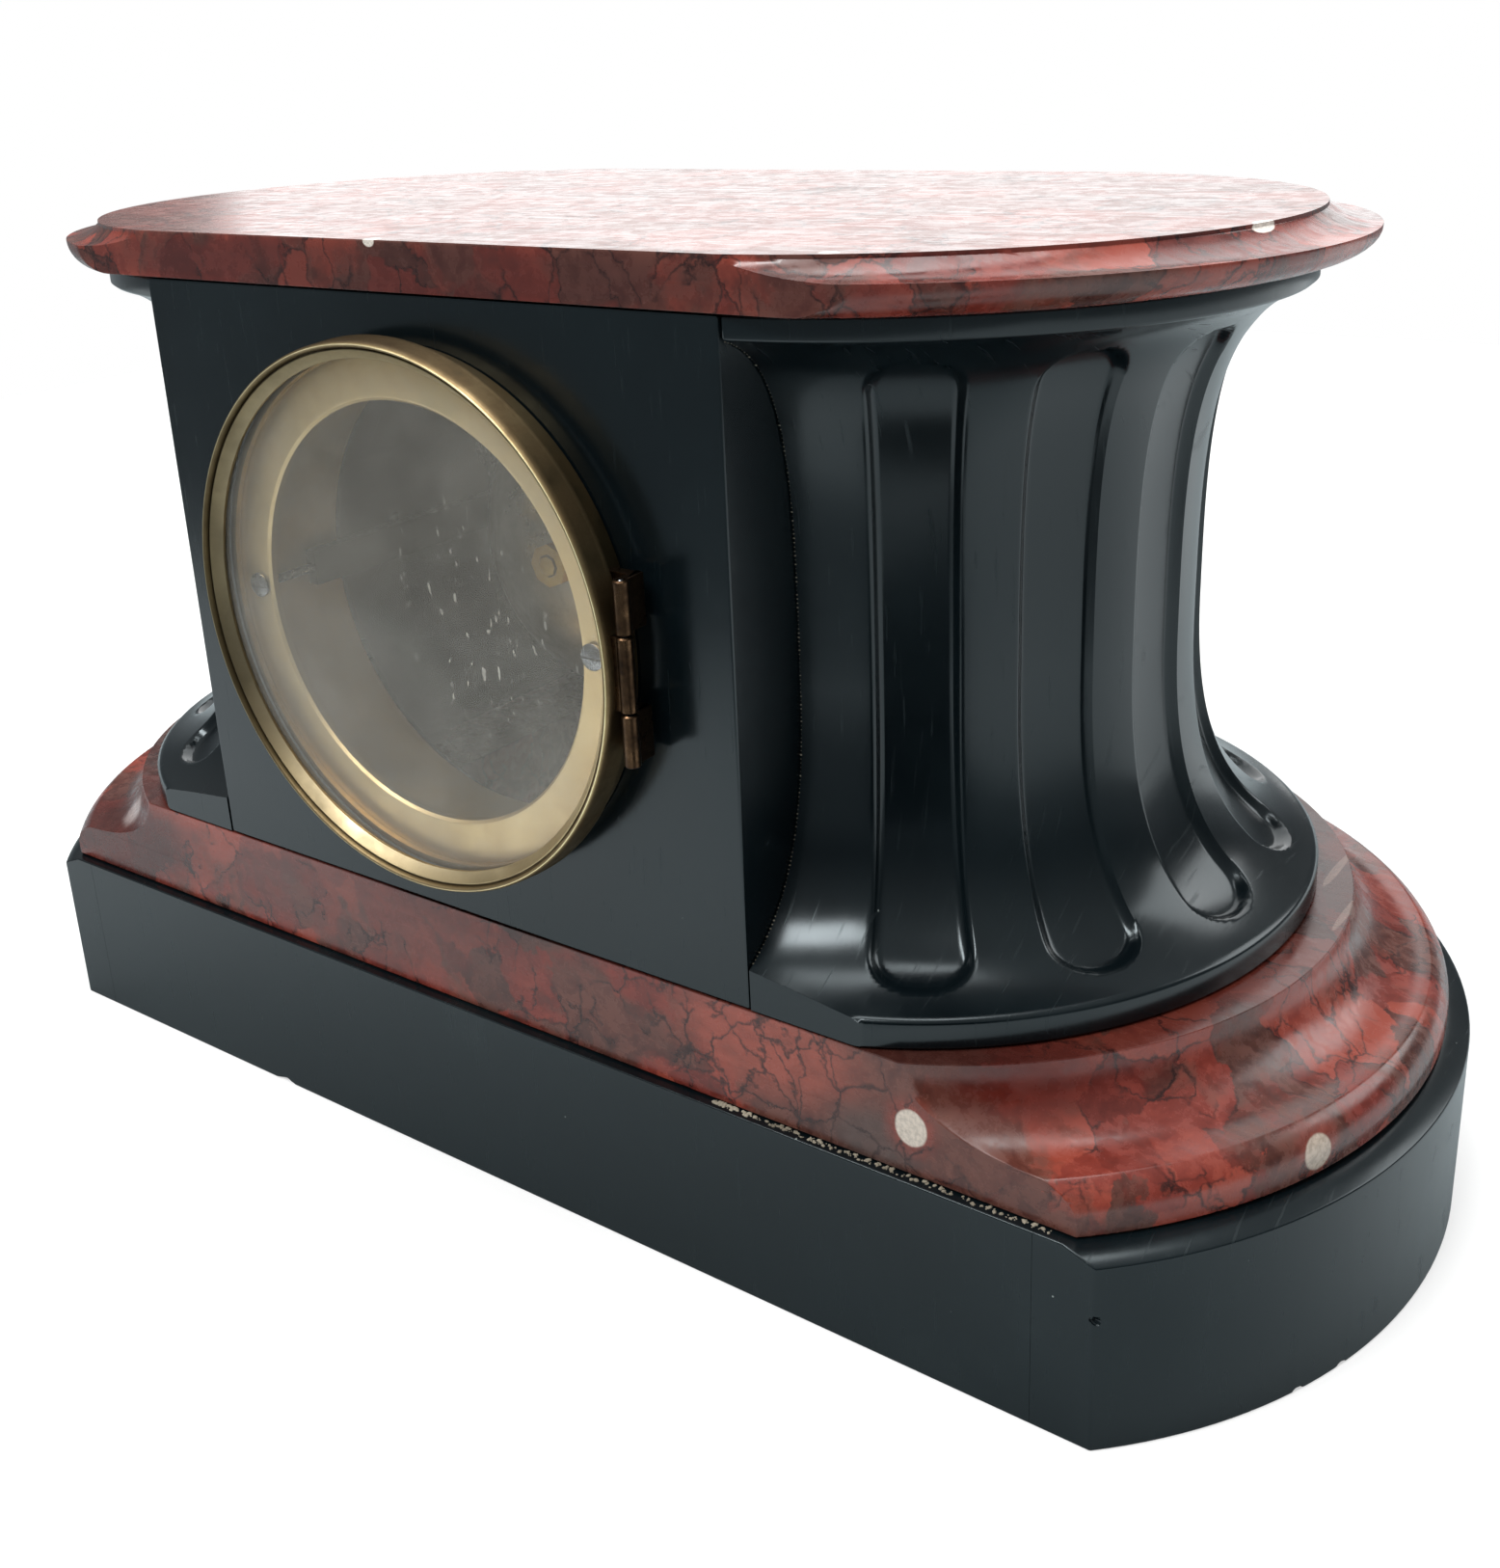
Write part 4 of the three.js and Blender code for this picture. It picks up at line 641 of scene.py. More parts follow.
@dataclass(frozen=True)
class RedMarble(Finish):
    """Red nodular marble, wax polished: brick red nodules in grey-brown mud, hair veins, cream shells and
    painted shade.
    """

    deep: str = "#511b14"
    brick: str = "#742e24"
    warm: str = "#883c2e"
    mud: str = "#54382f"
    shadow: str = "#341f1a"
    vein: str = "#25110f"
    wander_size: float = 20.0
    wander_reach: float = 18.0
    nodule_size: float = 13.0
    grain_size: float = 4.0
    mud_size: float = 24.0
    crack_size: float = 11.0
    # Real rubbing marks are too fine to show, so they are drawn coarser
    rub_size: float = 1.5
    rub_depth: float = 0.04
    shine: float = 0.42
    patches: tuple[Patch, ...] = (
        Patch((-70, 73, 53), (26, 16, 14), "#8f4638", 0.85),
        Patch((-93, 73, 42), (12, 9, 8), "#4f3e39", 0.8),
        Patch((-122, 66, 55), (26, 16, 8), "#4c160f", 0.85),
        Patch((30, 73, 50), (60, 12, 14), "#553a35", 0.5),
        Patch((112, 73, 48), (44, 22, 16), "#401914", 0.85),
        # Painted shade: the slab's back edge, darker across its middle
        Patch((0, 75, 180), (150, 12, 7), "#3a1c1a", 0.55),
        # Painted shade: a dark ring round the moulding's top, under the drums' bands
        Patch((-20, 0, 58.6), (260, 260, 0.7), "#2a1411", 0.8),
        Patch((0, 0, 185.4), (400, 300, 1.0), "#6f463d", 0.65),
        Patch((112.5, 67.7, 50.8), (7, 6, 4), "#b0a09c", 0.7),
        Patch((-99.8, 73.3, 46.8), (6.4, 8.0, 7.4), "#7c372c", 0.9),
        Patch((-154.5, 37.8, 42.6), (5.4, 7.0, 6.6), "#773c32", 0.9),
    )
    shells: tuple[Patch, ...] = (
        Patch((-99.8, 73.3, 46.8), (3.2, 5.0, 3.7), "#c9bcae", 1.0),
        Patch((-154.5, 37.8, 41.7), (2.6, 3.4, 3.2), "#b3a394", 1.0),
        Patch((-135.5, -28.0, 57.6), (0.9, 9.0, 3.0), "#8d7468", 0.5),
        Patch((-142.3, -12.0, 57.4), (0.8, 9.0, 3.0), "#8d7468", 0.5),
        Patch((5.0, 72.5, 184.8), (1.6, 2.0, 1.2), "#e6dcd0", 0.9),
        Patch((-129.2, 15.8, 184.4), (1.6, 3.6, 1.4), "#efe6dc", 1.0),
        Patch((-84.3, 67.2, 184.8), (1.8, 1.6, 1.0), "#dccbc0", 0.9),
    )

    def material(self) -> Material:
        """Makes the material.

        Returns:
            Marble with nodules, mud, veins, shells and a worn wax polish.
        """
        material, tree, coords = self.start()
        wander = add_node(
            tree,
            "TexNoise",
            {"Vector": coords, "Scale": per_metre(self.wander_size), "Detail": 6.0, "Roughness": 0.62},
        )
        pushed = add_node(
            tree,
            "VectorMath",
            {0: wander.outputs["Color"], 1: [self.wander_reach * MM] * 3, 2: coords},
            operation="MULTIPLY_ADD",
        ).outputs[0]
        nodule_scale = per_metre(self.nodule_size)
        nodules = add_node(tree, "TexVoronoi", {"Vector": pushed, "Scale": nodule_scale})
        draw = add_node(tree, "SeparateColor", {0: nodules.outputs["Color"]})
        grain = add_node(
            tree,
            "TexNoise",
            {"Vector": pushed, "Scale": per_metre(self.grain_size), "Detail": 6.0, "Roughness": 0.66},
        ).outputs["Fac"]
        tone = add_node(tree, "Math", {0: draw.outputs[0], 1: 0.6, 2: grain}, operation="MULTIPLY_ADD")
        reds = ((0.45, self.deep), (0.78, self.brick), (1.0, self.warm))
        colour = add_node(tree, "ValToRGB", {0: tone.outputs[0]}, reds).outputs[0]
        # Mud fills ragged pockets between the nodules, with darker streaks in it
        pockets = add_node(
            tree,
            "TexNoise",
            {"Vector": pushed, "Scale": per_metre(self.mud_size), "Detail": 7.0, "Roughness": 0.6},
        ).outputs["Fac"]
        pocket = add_node(tree, "Math", {0: draw.outputs[1], 1: 0.22, 2: pockets}, operation="MULTIPLY_ADD")
        gaps = add_node(tree, "MapRange", {0: pocket.outputs[0], 1: 0.59, 2: 0.69, 3: 0.0, 4: 0.8})
        silt = add_node(tree, "ValToRGB", {0: grain}, ((0.36, self.shadow), (0.58, self.mud)))
        colour = add_node(
            tree, "Mix", {0: gaps.outputs[0], 6: colour, 7: silt.outputs[0]}, data_type="RGBA"
        ).outputs[2]
        for patch in self.patches:
            colour = self.lay(tree, coords, colour, patch, soft=0.6)
        # Dark seams round the nodules, and hair cracks that run mostly upright
        upright = add_node(tree, "Mapping", {"Vector": pushed, "Scale": (1.0, 1.0, 0.4)}).outputs[0]
        crack_scale = per_metre(self.crack_size)
        for vector, scale, low in ((pushed, nodule_scale, 0.47), (upright, crack_scale, 0.48)):
            lines = add_node(
                tree, "TexVoronoi", {"Vector": vector, "Scale": scale}, feature="DISTANCE_TO_EDGE"
            ).outputs["Distance"]
            hair = add_node(tree, "MapRange", {0: lines, 1: 0.0, 2: 0.03, 3: 0.9, 4: 0.0})
            broken = add_node(tree, "MapRange", {0: wander.outputs["Fac"], 1: low, 2: low + 0.05})
            vein = add_node(tree, "Math", {0: hair.outputs[0], 1: broken.outputs[0]}, operation="MULTIPLY")
            colour = add_node(
                tree, "Mix", {0: vein.outputs[0], 6: colour, 7: linear(self.vein)}, data_type="RGBA"
            ).outputs[2]
        for shell in self.shells:
            colour = self.lay(tree, coords, colour, shell, soft=0.15)
        # Rubbing marks along the slab, seen where it mirrors the light
        drawn = add_node(tree, "Mapping", {"Vector": coords, "Scale": (0.07, 1.0, 1.0)})
        rub = add_node(
            tree,
            "TexNoise",
            {"Vector": drawn.outputs[0], "Scale": per_metre(self.rub_size), "Detail": 3.0, "Roughness": 0.6},
        ).outputs["Fac"]
        polish = add_node(tree, "MapRange", {0: rub, 1: 0.3, 2: 0.7, 3: 0.16, 4: 0.28})
        # The wax has gone in patches, so that the shine breaks up
        worn = add_node(tree, "MapRange", {0: grain, 1: 0.44, 2: 0.58, 3: 0.0, 4: 0.1})
        blunt = add_node(tree, "Math", {0: polish.outputs[0], 1: worn.outputs[0]}, operation="ADD")
        relief = add_node(tree, "Bump", {"Height": rub, "Strength": 0.1, "Distance": self.rub_depth * MM})
        self.close(
            tree,
            {
                "Base Color": colour,
                "Roughness": blunt.outputs[0],
                "Normal": relief.outputs[0],
                "IOR": 1.52,
                "Specular IOR Level": self.shine,
            },
        )
        return material

    def lay(self, tree: Tree, coords: Socket, under: Socket, patch: Patch, soft: float) -> Socket:
        """Lays one patch over the colour so far.

        Args:
            tree: The material's tree.
            coords: Object coordinates.
            under: Colour so far.
            patch: What to lay.
            soft: Width of its edge as a share of its reach.

        Returns:
            The colour with the patch.
        """
        reach = [length * MM for length in patch.reach]
        spot = add_node(
            tree,
            "Mapping",
            {"Vector": coords, "Location": Vector(patch.middle) * MM, "Scale": reach},
            vector_type="TEXTURE",
        ).outputs[0]
        ragged = add_node(tree, "TexNoise", {"Vector": spot, "Scale": 1.6, "Detail": 4.0, "Roughness": 0.6})
        distance = add_node(tree, "VectorMath", {0: spot}, operation="LENGTH")
        edge = add_node(
            tree,
            "Math",
            {0: ragged.outputs["Fac"], 1: 0.6 * soft, 2: distance.outputs["Value"]},
            operation="MULTIPLY_ADD",
        )
        mask = add_node(
            tree,
            "MapRange",
            {0: edge.outputs[0], 1: 1.0 - soft * 0.7, 2: 1.0 + soft * 0.3, 3: patch.strength, 4: 0.0},
            interpolation_type="SMOOTHSTEP",
        )
        fine = add_node(tree, "TexNoise", {"Vector": spot, "Scale": 4.5, "Detail": 5.0})
        tint = add_node(tree, "MapRange", {0: fine.outputs["Fac"], 1: 0.36, 2: 0.6, 3: 0.76, 4: 1.04})
        mottled = add_node(
            tree, "VectorMath", {0: linear(patch.colour)[:3], "Scale": tint.outputs[0]}, operation="SCALE"
        )
        return add_node(
            tree, "Mix", {0: mask.outputs[0], 6: under, 7: mottled.outputs[0]}, data_type="RGBA"
        ).outputs[2]


@dataclass(frozen=True)
class AgedBrass(Finish):
    """Cast or spun brass with age: bright where rubbed, brown lacquer and grey-green dulling elsewhere."""

    bright: str = "#b09a70"
    brown: str = "#6f5c3e"
    dull: str = "#3c382c"
    patina_size: float = 9.0
    brown_from: float = 0.42
    # Real turning scratches are too fine to show, so they are drawn coarser
    grain_size: float = 0.9
    grain_depth: float = 0.06
    roughness: Flat = (0.24, 0.46)
    zones: tuple[tuple[float, str], ...] = ()
    zone_blotches: float = 0.16
    # Painted light: factors on the colour at -X and at +X, for one side lit more than the other
    rubbed: Flat = (1.0, 1.0)
    painted_light_span: float = 45.0

    def material(self) -> Material:
        """Makes the material.

        Returns:
            Brass with blotched patina, fine turning scratches and painted light brighter on one side.
        """
        material, tree, coords = self.start()
        blotch = add_node(
            tree,
            "TexNoise",
            {"Vector": coords, "Scale": per_metre(self.patina_size), "Detail": 7.0, "Roughness": 0.66},
        ).outputs["Fac"]
        start = self.brown_from
        tones = ((start - 0.12, self.dull), (start, self.brown), (start + 0.2, self.bright))
        colour = add_node(tree, "ValToRGB", {0: blotch}, tones).outputs[0]
        if self.zones:
            colour = self.rings(tree, coords, colour)
        # Painted light: one side brighter and the other darker along X, as the light falls on it
        split = add_node(tree, "SeparateXYZ", {0: coords})
        span = self.painted_light_span * MM
        near, far = self.rubbed
        level = add_node(tree, "MapRange", {0: split.outputs[0], 1: -span, 2: span, 3: near, 4: far})
        colour = add_node(
            tree, "VectorMath", {0: colour, "Scale": level.outputs[0]}, operation="SCALE"
        ).outputs[0]
        fine = add_node(
            tree,
            "TexNoise",
            {"Vector": coords, "Scale": per_metre(self.grain_size), "Detail": 4.0, "Roughness": 0.6},
        )
        low, high = self.roughness
        polish = add_node(tree, "MapRange", {0: blotch, 1: 0.35, 2: 0.65, 3: high, 4: low})
        relief = add_node(
            tree,
            "Bump",
            {"Height": fine.outputs["Fac"], "Strength": 0.15, "Distance": self.grain_depth * MM},
        )
        self.close(
            tree,
            {
                "Base Color": colour,
                "Roughness": polish.outputs[0],
                "Normal": relief.outputs[0],
                "Metallic": 1.0,
            },
        )
        return material

    def rings(self, tree: Tree, coords: Socket, blotches: Socket) -> Socket:
        """Tones a turned ring from its inner edge to its outer side.

        Args:
            tree: The material's tree.
            coords: Object coordinates.
            blotches: Colour of the patina.

        Returns:
            The toned colour.
        """
        first, last = self.zones[0][0], self.zones[-1][0]
        flat = add_node(
            tree, "Mapping", {"Vector": coords, "Location": (0, 0, -DIAL_CENTRE * MM), "Scale": (1, 0, 1)}
        )
        radius = add_node(tree, "VectorMath", {0: flat.outputs[0]}, operation="LENGTH")
        place = add_node(tree, "MapRange", {0: radius.outputs["Value"], 1: first * MM, 2: last * MM})
        stops = [((r - first) / (last - first), colour) for r, colour in self.zones]
        tone = add_node(tree, "ValToRGB", {0: place.outputs[0]}, stops)
        return add_node(
            tree, "Mix", {0: self.zone_blotches, 6: tone.outputs[0], 7: blotches}, data_type="RGBA"
        ).outputs[2]


@dataclass(frozen=True)
class ClockSteel(Finish):
    """Hardened steel, ground and polished: even grey or heat-blued metal with faint grinding marks."""

    light: str = "#9a9c9e"
    dark: str = "#6c6e70"
    # Real grinding marks are too fine to show, so they are drawn coarser
    grind_size: float = 2.4
    roughness: Flat = (0.2, 0.34)

    def material(self) -> Material:
        """Makes the material.

        Returns:
            Steel with faint tone and polish changes.
        """
        material, tree, coords = self.start()
        grind = add_node(
            tree,
            "TexNoise",
            {"Vector": coords, "Scale": per_metre(self.grind_size), "Detail": 5.0, "Roughness": 0.6},
        ).outputs["Fac"]
        colour = add_node(tree, "ValToRGB", {0: grind}, ((0.35, self.dark), (0.65, self.light)))
        low, high = self.roughness
        polish = add_node(tree, "MapRange", {0: grind, 1: 0.35, 2: 0.65, 3: high, 4: low})
        self.close(tree, {"Base Color": colour.outputs[0], "Roughness": polish.outputs[0], "Metallic": 1.0})
        return material


@dataclass(frozen=True)
class DustyGlass(Finish):
    """Old window glass under a film of dust: a grey haze over what is behind, with some pale flecks."""

    film: str = "#b4b0a6"
    speck: str = "#b3b0a6"
    film_size: float = 34.0
    haze: Flat = (0.12, 0.22)
    fleck_size: float = 1.3
    fleck_place: tuple[float, float, float] = (-20.0, 80.0, 122.0)
    fleck_reach: float = 26.0
    specks_share: float = 0.6

    def material(self) -> Material:
        """Makes the material.

        Returns:
            Glass whose alpha is the thickness of its dust.
        """
        material, tree, coords = self.start()
        film = add_node(
            tree,
            "TexNoise",
            {"Vector": coords, "Scale": per_metre(self.film_size), "Detail": 6.0, "Roughness": 0.65},
        )
        low, high = self.haze
        cover = add_node(tree, "MapRange", {0: film.outputs["Fac"], 1: 0.35, 2: 0.65, 3: low, 4: high})
        # Dust lies thickest by the hinge, in flecks that have run a little way down the glass
        reach = [self.fleck_reach * MM] * 3
        spot = add_node(
            tree,
            "Mapping",
            {"Vector": coords, "Location": Vector(self.fleck_place) * MM, "Scale": reach},
            vector_type="TEXTURE",
        )
        distance = add_node(tree, "VectorMath", {0: spot.outputs[0]}, operation="LENGTH")
        near = add_node(tree, "MapRange", {0: distance.outputs["Value"], 1: 0.5, 2: 1.3, 3: 1.0, 4: 0.0})
        run = add_node(tree, "Mapping", {"Vector": coords, "Scale": (1.0, 1.0, 0.4)})
        flecks = add_node(
            tree, "TexNoise", {"Vector": run.outputs[0], "Scale": per_metre(self.fleck_size), "Detail": 2.0}
        )
        thin = add_node(
            tree, "MapRange", {0: flecks.outputs["Fac"], 1: 0.64, 2: 0.74, 3: 0.0, 4: self.specks_share}
        )
        specks = add_node(
            tree, "Math", {0: thin.outputs[0], 1: near.outputs[0]}, operation="MULTIPLY"
        ).outputs[0]
        alpha = add_node(tree, "Math", {0: cover.outputs[0], 1: specks}, operation="MAXIMUM")
        colour = add_node(
            tree, "Mix", {0: specks, 6: linear(self.film), 7: linear(self.speck)}, data_type="RGBA"
        )
        self.close(
            tree,
            {"Base Color": colour.outputs[2], "Alpha": alpha.outputs[0], "Roughness": 0.08, "IOR": 1.5},
        )
        return material


@dataclass(frozen=True)
class FiredEnamel(Finish):
    """Fired enamel on copper: an even glassy white with the least waviness, or black painted figures."""

    colour: str = "#e9e4d6"
    shade: str = "#dbd4c2"
    gloss: float = 0.12
    mottle_size: float = 18.0
    mottle_depth: float = 0.1

    def material(self) -> Material:
        """Makes the material.

        Returns:
            Enamel with a faint cream mottle and a glassy face.
        """
        material, tree, coords = self.start()
        mottle = add_node(
            tree,
            "TexNoise",
            {"Vector": coords, "Scale": per_metre(self.mottle_size), "Detail": 4.0, "Roughness": 0.55},
        ).outputs["Fac"]
        colour = add_node(tree, "ValToRGB", {0: mottle}, ((0.35, self.shade), (0.6, self.colour)))
        relief = add_node(
            tree, "Bump", {"Height": mottle, "Strength": 0.05, "Distance": self.mottle_depth * MM}
        )
        self.close(
            tree, {"Base Color": colour.outputs[0], "Normal": relief.outputs[0], "Roughness": self.gloss}
        )
        return material


@dataclass(frozen=True)
class Finishes:
    """All finishes of the clock; each makes its material once."""

    # Near-black stone with a blunt blue-grey shine
    slate: Finish = HonedSlate("honed_black_slate")
    # Brick red stone, dark veined, under old wax
    marble: Finish = RedMarble("polished_red_marble")
    # Brown door ring with a painted highlight along its crown; radius in millimetres and tone of each turned
    # band
    ring_brass: Finish = AgedBrass(
        "browned_ring_brass",
        roughness=(0.36, 0.56),
        # Painted light: brighter towards -X, darker towards +X
        rubbed=(1.8, 0.48),
        zones=(
            (47.25, "#ab9d7f"),
            (48.9, "#97896b"),
            (49.08, "#34291c"),
            (49.3, "#34291c"),
            (49.5, "#6b5c40"),
            (49.9, "#86765a"),
            # Painted highlight: the pale band along the crown
            (50.0, "#f0e0b4"),
            (50.14, "#8a7a58"),
            (50.35, "#584a35"),
            (50.85, "#3c3325"),
        ),
    )
    # Yellow gilding worn to brown in blotches
    bezel_brass: Finish = AgedBrass("gilt_bezel_brass", bright="#d2b679", brown="#a5864f", dull="#5d4c2e")
    # Dull brown-black iron, hardly shining
    dark_steel: Finish = ClockSteel(
        "browned_strap_steel", light="#332f2b", dark="#2a2623", roughness=(0.42, 0.5)
    )
    # Pale satin gold, with painted shade under the ring and painted light brighter towards -X
    flange_brass: Finish = AgedBrass(
        "pale_gilt_brass",
        bright="#e2c792",
        brown="#cbaa74",
        dull="#9b7b51",
        brown_from=0.36,
        patina_size=12.0,
        roughness=(0.34, 0.54),
        # Painted light: brighter towards -X
        rubbed=(1.25, 0.9),
        # Painted shade: the last two bands darken the flange under the ring
        zones=((39.2, "#dcc290"), (46.6, "#d2b684"), (48.4, "#4a3d2a"), (48.95, "#1c1710")),
    )
    # Hinge gone nearly black with handling
    hinge_brass: Finish = AgedBrass(
        "blackened_hinge_brass", bright="#54402e", brown="#33261c", dull="#1a1511", patina_size=4.0
    )
    # Warm yellow metal with faint clouds
    clock_brass: Finish = AgedBrass(
        "polished_clock_brass",
        bright="#c7a258",
        brown="#a07c3c",
        dull="#6d5428",
        brown_from=0.34,
        patina_size=16.0,
    )
    # Greyer and paler than brass
    bell_metal: Finish = AgedBrass(
        "turned_bell_metal",
        bright="#a8a090",
        brown="#8c8270",
        dull="#625a4c",
        brown_from=0.34,
        patina_size=14.0,
    )
    # Plain grey metal with a fair polish
    steel: Finish = ClockSteel("ground_clock_steel")
    # Deep blue metal from heating
    blued_steel: Finish = ClockSteel("heat_blued_steel", light="#2c3a72", dark="#16204a")
    # Grey haze with flecks by the hinge
    dusty_glass: Finish = DustyGlass("dusty_back_glass")
    # Nearly clear
    clean_glass: Finish = DustyGlass("wiped_front_glass", haze=(0.05, 0.1), specks_share=0.06)
    # Dry, chalky grey-brown crumbs, and the pale specks of painted seam highlight
    plaster: Finish = FiredEnamel("bedding_plaster_and_seam_highlight", colour="#9a9180", shade="#5f5749", gloss=0.9)
    # Glassy cream white
    enamel: Finish = FiredEnamel("fired_white_enamel")
    # Black, a little less glassy than the white
    figures: Finish = FiredEnamel("fired_black_figures", colour="#15151a", shade="#0d0d10", gloss=0.2)


@dataclass
class SubAssembly:
    """A group of pieces that is built and dressed together."""

    frame: dict
    finishes: Finishes

    def dress(
        self,
        piece: Piece,
        finish: Finish,
        body: Rides,
        slot: Slot,
        nodes: Sequence[str] = (),
    ) -> None:
        """Gives a piece its finish, the body that it rides on and the nodes that it stands for.

        Args:
            piece: The finished piece.
            finish: Its finish.
            body: Body that carries it.
            slot: Material slot of the record; not used.
            nodes: CAD nodes that it replaces.
        """
        piece.data.materials.clear()
        piece.data.materials.append(finish.made())
        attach(piece, body.value)
        if nodes:
            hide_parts(*nodes)
        LOG.info("%s: %d faces on %s", piece.name, len(piece.data.polygons), body.value)


@dataclass(frozen=True)
class Plan:
    """Outline of a stone tier from above: straight at the back and front, bowed at both ends."""

    straight: float
    reach: float
    back: float
    front: float

    def ring(self, height: float, steps: int = 56) -> list[Vector]:
        """Gives the outline at a height.

        Args:
            height: Height in millimetres.
            steps: Faces along each bowed end.

        Returns:
            Corners in metres, round the right end and then the left.
        """
        half = self.back - BODY_MIDDLE
        bulge = self.reach - self.straight
        radius = (bulge**2 + half**2) / (2 * bulge)
        first = math.asin(max(-1.0, (self.front - BODY_MIDDLE) / radius))
        last = math.asin(half / radius)
        turns = [blend(first, last, i / steps) for i in range(steps + 1)]
        middle = self.reach - radius
        right = [(middle + radius * math.cos(t), BODY_MIDDLE + radius * math.sin(t)) for t in turns]
        left = [(-x, y) for x, y in reversed(right)]
        return [Vector((x, y, height)) * MM for x, y in right + left]

    def towards(self, other: Plan, share: float) -> Plan:
        """Gives a plan between this one and another.

        Args:
            other: The other plan.
            share: Share of the way to it.

        Returns:
            The plan in between.
        """
        return Plan(
            blend(self.straight, other.straight, share),
            blend(self.reach, other.reach, share),
            blend(self.back, other.back, share),
            blend(self.front, other.front, share),
        )


@dataclass
class Plinth(SubAssembly):
    """Four slate stones under the clock, with a weathered ledge round the top."""

    plan: Plan = Plan(133.27, 166.45, 75.25, -78.25)
    ledge: Plan = Plan(127.27, 160.45, 75.25, -78.25)
    height: float = 37.6
    weather: float = 2.4
    seam: float = 122.57
    hairline: float = 0.06
    slab: float = 20.0
    arris: float = 0.35
    chips: tuple[tuple[tuple[float, float, float], tuple[float, float, float]], ...] = (
        ((-134.6, 75.3, 25.5), (2.6, 1.0, 0.9)),
        ((-135.6, 75.2, 23.6), (0.8, 0.7, 2.2)),
        ((-156.4, 44.6, 0.2), (1.2, 1.3, 0.6)),
        ((-160.4, 35.0, 0.0), (1.1, 1.4, 0.7)),
        ((-151.0, 52.6, 0.2), (0.8, 0.9, 0.4)),
        ((60.0, 75.4, 0.0), (3.0, 1.2, 1.0)),
        ((158.0, -40.0, 0.0), (2.0, 2.6, 1.2)),
    )

    def build(self) -> None:
        """Makes the four stones and dresses them."""
        far = 2 * self.plan.reach
        inner = self.seam + self.hairline
        stones = {
            "plinth_back_slab": ((-self.seam, self.seam), (self.plan.back - self.slab, far)),
            "plinth_front_slab": ((-self.seam, self.seam), (-far, self.plan.front + self.slab)),
            "plinth_right_end": ((inner, far), (-far, far)),
            "plinth_left_end": ((-far, -inner), (-far, far)),
        }
        for node, (across, deep) in stones.items():
            piece = self.stone(f"{node}_stone", across, deep)
            self.dress(piece, self.finishes.slate, Rides.CASE, Slot.SLATE, [node])

    def stone(self, name: str, across: Flat, deep: Flat) -> Piece:
        """Saws one stone out of the whole tier.

        Args:
            name: Name of the piece.
            across: Lowest and highest X.
            deep: Lowest and highest Y.

        Returns:
            The stone with eased arrises.
        """
        levels = [self.plan.ring(0), self.plan.ring(self.height - self.weather), self.ledge.ring(self.height)]
        piece = Bench.loft(name, levels)
        Bench.ease(piece, self.arris)
        for axis, limits in ((ACROSS, across), (OUTWARDS, deep)):
            for limit, sign in zip(limits, (-1, 1)):
                if abs(limit) < self.plan.reach:
                    Bench.saw(piece, axis * limit * MM, axis * sign)
        for number, (middle, size) in enumerate(self.chips):
            if across[0] < middle[0] < across[1] and deep[0] < middle[1] < deep[1]:
                self.chip(piece, middle, size, number)
        Bench.smooth(piece)
        return piece

    def chip(self, piece: Piece, middle: Sequence[float], size: Sequence[float], number: int) -> None:
        """Breaks a chip out of a stone.

        Args:
            piece: The stone.
            middle: Middle of the chip, in millimetres.
            size: Reach of the chip along X, Y and Z.
            number: Number of the chip, which shapes its break.
        """
        Bench.clear()
        bpy.ops.mesh.primitive_ico_sphere_add(subdivisions=3, radius=1)
        flake = bpy.context.active_object
        for vertex in flake.data.vertices:
            rough = 1 + 0.35 * noise.noise(vertex.co * 1.7 + Vector((number * 7.3, 0, 0)))
            vertex.co = Vector([m + s * c * rough for m, s, c in zip(middle, size, vertex.co)]) * MM
        Bench.carve(piece, flake)


@dataclass
class BaseMoulding(SubAssembly):
    """Red marble tier under the body: a fillet, a round and a hollow, with a slot for the pendulum."""

    foot: Plan = Plan(129.07, 162.25, BODY_BACK, -76.25)
    top: Plan = Plan(97.47, 144.15, BODY_BACK, -72.25)
    low: float = 37.9
    fillet: float = 2.5
    round_height: float = 6.0
    round_share: float = 0.2
    round_turn: float = 65.0
    hollow_height: float = 12.0
    slot: Flat = (100.0, 76.0)
    cutter_top: float = 100.0
    arris: float = 0.35
    bow_steps: int = 96

    def section(self, steps: int = 14) -> list[Flat]:
        """Gives the moulding's section.

        Args:
            steps: Faces over the round and over the hollow.

        Returns:
            Share of the projection and height above the foot, from the foot up.
        """
        levels = [(1.0, 0.0)]
        limit = math.radians(self.round_turn)
        for i in range(steps + 1):
            turn = limit * i / steps
            share = 1 - self.round_share * (1 - math.cos(turn)) / (1 - math.cos(limit))
            levels.append((share, self.fillet + self.round_height * math.sin(turn) / math.sin(limit)))
        crest = self.fillet + self.round_height
        for i in range(1, steps + 1):
            turn = math.pi / 2 * i / steps
            share = (1 - self.round_share) * (1 - math.sin(turn))
            levels.append((share, crest + self.hollow_height * (1 - math.cos(turn))))
        return levels

    def build(self) -> None:
        """Makes the tier and dresses it."""
        rings = []
        for share, height in self.section():
            rings.append(self.top.towards(self.foot, share).ring(self.low + height, self.bow_steps))
        piece = Bench.loft("base_moulding_stone", rings)
        half_x, half_y = self.slot[0] / 2, self.slot[1] / 2
        low = (-half_x, BODY_MIDDLE - half_y, 0)
        high = (half_x, BODY_MIDDLE + half_y, self.cutter_top)
        Bench.carve(piece, Bench.block("slot_cutter", low, high))
        Bench.ease(piece, self.arris, angle=50)
        Bench.smooth(piece)
        self.dress(piece, self.finishes.marble, Rides.CASE, Slot.MARBLE, ["base_moulding"])


